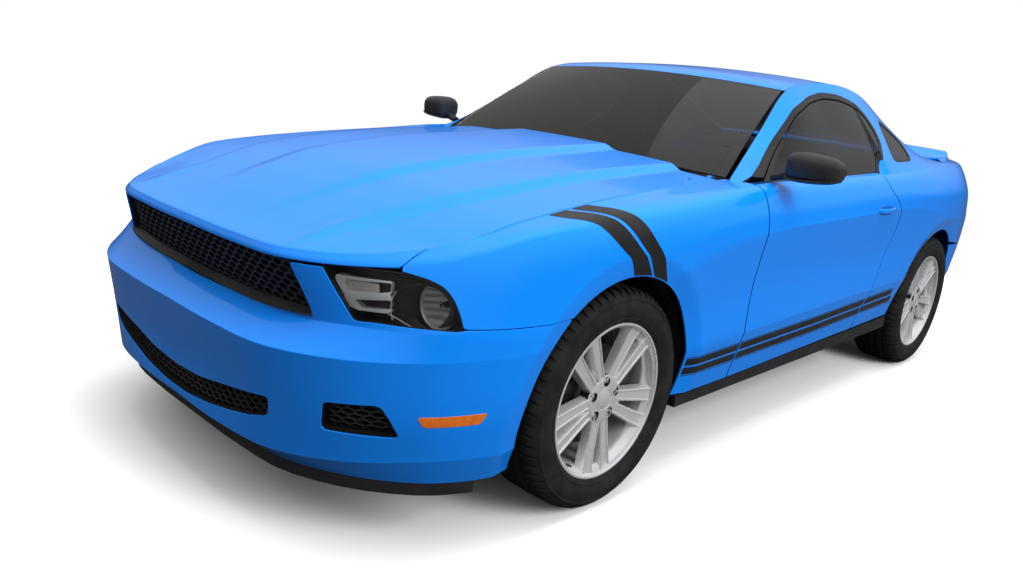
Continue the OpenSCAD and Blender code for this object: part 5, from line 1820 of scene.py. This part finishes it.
def seats():
    for side, sign in SIDES:
        y = sign * SEAT_Y
        cushion(side + "_seat_base", SEAT_BASE, y - 222, y + 222, 34, 8, ["front_seats"], True)
        cushion(side + "_seat_back", SEAT_BACK, y - 220, y + 220, 34, 7, ["front_seats"], True)
        cushion(side + "_seat_head", SEAT_HEAD, y - 126, y + 126, 24, 6, ["front_seats"])
        s = Soup()
        s.solid(rows_solid([[(a, y + b, z) for a, b in SEAT_FRAME] for z in (218, 222, 300)]), 0, 35)
        s.object(side + "_seat_frame", "cabin", "body", "cabin")
        cushion(side + "_rear_base", REAR_BASE, sign * 148, sign * 594, 26, 6, ["rear_seat"], True)
    cushion("rear_seat_back", REAR_BACK, -594, 594, 16, 5, ["rear_seat"])


seats()

# Dashboard with a hooded binnacle and three dark panels, as y and z of their corners
DASH = fillet([[858, 722], [858, 894], [800, 938], [718, 938], [690, 948], [560, 918], [522, 850],
               [560, 702]], 22, 5)
DASH_PANELS = ((-640, -440, 800, 850), (-90, 90, 790, 860), (590, 690, 810, 860))


def binnacle():
    rows = []
    for f in np.linspace(0, 1, 13):
        k = math.sin(math.pi * mix(0.06, 0.94, f)) ** 0.5
        line = [[640, 925], [640, 936 + 24 * k], [560 - 26 * k, 922 + 30 * k],
                [548 - 22 * k, 912 + 26 * k], [580, 905]]
        rows.append([(a, mix(215, 525, f), b) for a, b in fillet(line, 8, 4)])
    return rows_solid(rows)


def dash_shell():
    s = Soup()
    s.solid(rows_solid([[(a, y, b) for a, b in DASH] for y in np.linspace(-714, 714, 25)]), 0, 40)
    s.solid(binnacle(), 0, 40)
    for y0, y1, z0, z1 in DASH_PANELS:
        x = float(np.interp(mix(z0, z1, 0.5), [700, 850], [560, 522]))
        line = fillet([[y0, z0], [y1, z0], [y1, z1], [y0, z1]], 10, 4)
        s.solid(rows_solid([[(q, a, b) for a, b in line] for q in (x + 12, x - 3, x - 4)]), 1, 30)
    s.object("dash_shell", "cabin black", "body", "cabin", ["dashboard"])


dash_shell()

# Steering wheel: rim, hub, column and three spokes
STEER_AT = np.array([385.0, 370, 870])
STEER_TILT = math.radians(115)
STEER_R, STEER_BAR = 180, 15
STEER_HUB = [(0, -6), (30, -5), (46, 0), (54, 8), (55, 20), (50, 30), (0, 32)]
COLUMN = [(0, 30), (27, 30), (28, 34), (28, 160), (0, 160)]


def wheel_rim_shell():
    c, sn = math.cos(STEER_TILT), math.sin(STEER_TILT)
    A = np.array([[c, 0, sn], [0, 1, 0], [-sn, 0, c]])
    ring = [(STEER_R + STEER_BAR * math.cos(t), STEER_BAR * math.sin(t))
            for t in np.linspace(0, 2 * math.pi, 20, endpoint=False)]
    s = Soup()
    for prof, n in ((ring, 96), (STEER_HUB, 48), (COLUMN, 32)):
        s.solid(placed(turned(prof, n), A, STEER_AT), 0, 40)
    spoke = rows_solid([[(r, h, 5), (r, h, 14), (r, h - 3, 17), (r, -h + 3, 17), (r, -h, 14), (r, -h, 5)]
                        for r, h in ((40, 22), (80, 17), (130, 13), (172, 16))])
    for degrees in (60, 180, 300):
        s.solid(placed(spoke, A @ turn(degrees), STEER_AT), 0, 30)
    s.object("wheel_rim_shell", "cabin", "body", "cabin", ["steering_wheel"])


wheel_rim_shell()

# CAD nodes that stay in view get their finish
FINISH = {
    "under": ["floor_pan", "front_frame", "rear_axle", "hinge_pillars", "hood_hinges", "rear_shelf",
              "driveshaft"],
    "iron": ["engine", "left_knuckle", "right_knuckle"],
    "steel": ["exhaust", "front_suspension"],
    "black": ["cowl", "rocker_mouldings", "air_dam"],
    "liner": ["wheel_liners"],
}
for mat, names in FINISH.items():
    for name in names:
        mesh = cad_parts[name].data
        mesh.materials.clear()
        mesh.materials.append(M[mat])


# Stage: floor, light and camera
FLOOR_HALF = 60.0
FLOOR_SEEN, FLOOR_LIT = (0.92, 0.92, 0.92), (0.07, 0.07, 0.07)
WHITE_FROM, WHITE_TO = 3.6, 7.0


def mixed_color(nt, fac, a, b):
    """Mix of two colours or colour outputs."""
    mx = nt.nodes.new("ShaderNodeMix")
    mx.data_type = "RGBA"
    nt.links.new(fac, mx.inputs["Factor"])
    for k, c in ((6, a), (7, b)):
        if isinstance(c, tuple):
            mx.inputs[k].default_value = (*c, 1)
        else:
            nt.links.new(c, mx.inputs[k])
    return mx.outputs[2]


def math_node(nt, operation, a, b):
    n = nt.nodes.new("ShaderNodeMath")
    n.operation = operation
    nt.links.new(a, n.inputs[0])
    nt.links.new(b, n.inputs[1])
    return n.outputs["Value"]


def floor_material():
    """Pale floor that keeps the shadow and runs out to white away from the car."""
    m, nt, p = base("floor_white", FLOOR_SEEN, 0.9, 0.0, Specular_IOR_Level=0.0)
    camera = nt.nodes.new("ShaderNodeLightPath").outputs["Is Camera Ray"]
    nt.links.new(mixed_color(nt, camera, FLOOR_LIT, FLOOR_SEEN), p.inputs["Base Color"])
    tc = nt.nodes.new("ShaderNodeTexCoord")
    length = nt.nodes.new("ShaderNodeVectorMath")
    length.operation = "LENGTH"
    nt.links.new(tc.outputs["Object"], length.inputs[0])
    far = nt.nodes.new("ShaderNodeMapRange")
    far.interpolation_type = "SMOOTHSTEP"
    far.inputs["From Min"].default_value = WHITE_FROM
    far.inputs["From Max"].default_value = WHITE_TO
    nt.links.new(length.outputs["Value"], far.inputs["Value"])
    white = nt.nodes.new("ShaderNodeEmission")
    mixer = nt.nodes.new("ShaderNodeMixShader")
    nt.links.new(math_node(nt, "MULTIPLY", far.outputs["Result"], camera), mixer.inputs["Fac"])
    nt.links.new(p.outputs["BSDF"], mixer.inputs[1])
    nt.links.new(white.outputs["Emission"], mixer.inputs[2])
    nt.links.new(mixer.outputs["Shader"], nt.nodes["Material Output"].inputs["Surface"])
    return m


def floor():
    r = FLOOR_HALF
    mesh = bpy.data.meshes.new("floor")
    mesh.from_pydata([(-r, -r, 0), (r, -r, 0), (r, r, 0), (-r, r, 0)], [], [(0, 1, 2, 3)])
    mesh.materials.append(floor_material())
    ob = bpy.data.objects.new("floor", mesh)
    bpy.context.scene.collection.objects.link(ob)


# Sky by height, as the light that falls and as what gloss and glass show
SKY_LIT = [(-0.1, 0.12), (0.0, 0.26), (0.35, 0.62), (1.0, 1.5)]
SKY_MIRRORED = [(-0.02, 0.03), (0.05, 0.08), (0.16, 0.22), (0.35, 0.45), (0.6, 0.5), (1.0, 0.7)]


def studio():
    world = bpy.data.worlds.new("studio")
    bpy.context.scene.world = world
    world.use_nodes = True
    nt = world.node_tree
    tc = nt.nodes.new("ShaderNodeTexCoord")
    sep = nt.nodes.new("ShaderNodeSeparateXYZ")
    nt.links.new(tc.outputs["Generated"], sep.inputs["Vector"])
    height = nt.nodes.new("ShaderNodeMapRange")
    height.inputs["From Min"].default_value = -1
    height.inputs["From Max"].default_value = 1
    nt.links.new(sep.outputs["Z"], height.inputs["Value"])
    lit, mirrored = [ramp(nt, height.outputs["Result"], [((z + 1) / 2, (v, v, v)) for z, v in stops])
                     for stops in (SKY_LIT, SKY_MIRRORED)]
    path = nt.nodes.new("ShaderNodeLightPath").outputs
    sharp = math_node(nt, "MAXIMUM", path["Is Glossy Ray"], path["Is Transmission Ray"])
    around = mixed_color(nt, sharp, lit, mirrored)
    seen = mixed_color(nt, path["Is Camera Ray"], around, (1.0, 1.0, 1.0))
    nt.links.new(seen, nt.nodes["Background"].inputs["Color"])


def area(name, loc, target, size, size_y, power):
    light = bpy.data.lights.new(name, "AREA")
    light.energy = power
    light.shape = "RECTANGLE"
    light.size = size
    light.size_y = size_y
    ob = bpy.data.objects.new(name, light)
    ob.location = loc
    ob.rotation_euler = (Vector(target) - Vector(loc)).to_track_quat("-Z", "Y").to_euler()
    ob.visible_glossy = False
    bpy.context.scene.collection.objects.link(ob)


floor()
studio()
area("top", (0.0, 0.0, 6.0), (0.0, 0, 0), 7.0, 5.0, 330)
area("left_key", (0.2, 7.5, 4.5), (0.0, 0, 0.5), 4.0, 4.0, 560)

# Camera as fitted to the photograph: focal length in pixels of its width, place in metres, angles in radians
PHOTO_W, FOCAL, SENSOR = 1023, 834.92, 36.0
CAM_AT = (3.40130529, 2.23240272, 1.25927851)
YAW, PITCH, ROLL = 3.88207697, -0.247767293, 0.119060417


def camera():
    cam = bpy.data.cameras.new("camera")
    cam.sensor_width = SENSOR
    cam.lens = FOCAL / PHOTO_W * SENSOR
    d = np.array([math.cos(PITCH) * math.cos(YAW), math.cos(PITCH) * math.sin(YAW), math.sin(PITCH)])
    right = np.cross(d, [0, 0, 1.0])
    right /= np.linalg.norm(right)
    up = np.cross(right, d)
    m = np.eye(4)
    m[:3, 0] = math.cos(ROLL) * right + math.sin(ROLL) * up
    m[:3, 1] = -math.sin(ROLL) * right + math.cos(ROLL) * up
    m[:3, 2] = -d
    m[:3, 3] = CAM_AT
    ob = bpy.data.objects.new("camera", cam)
    ob.matrix_world = Matrix(m.tolist())
    bpy.context.scene.collection.objects.link(ob)
    bpy.context.scene.camera = ob


camera()
bpy.context.scene.view_settings.view_transform = "Standard"
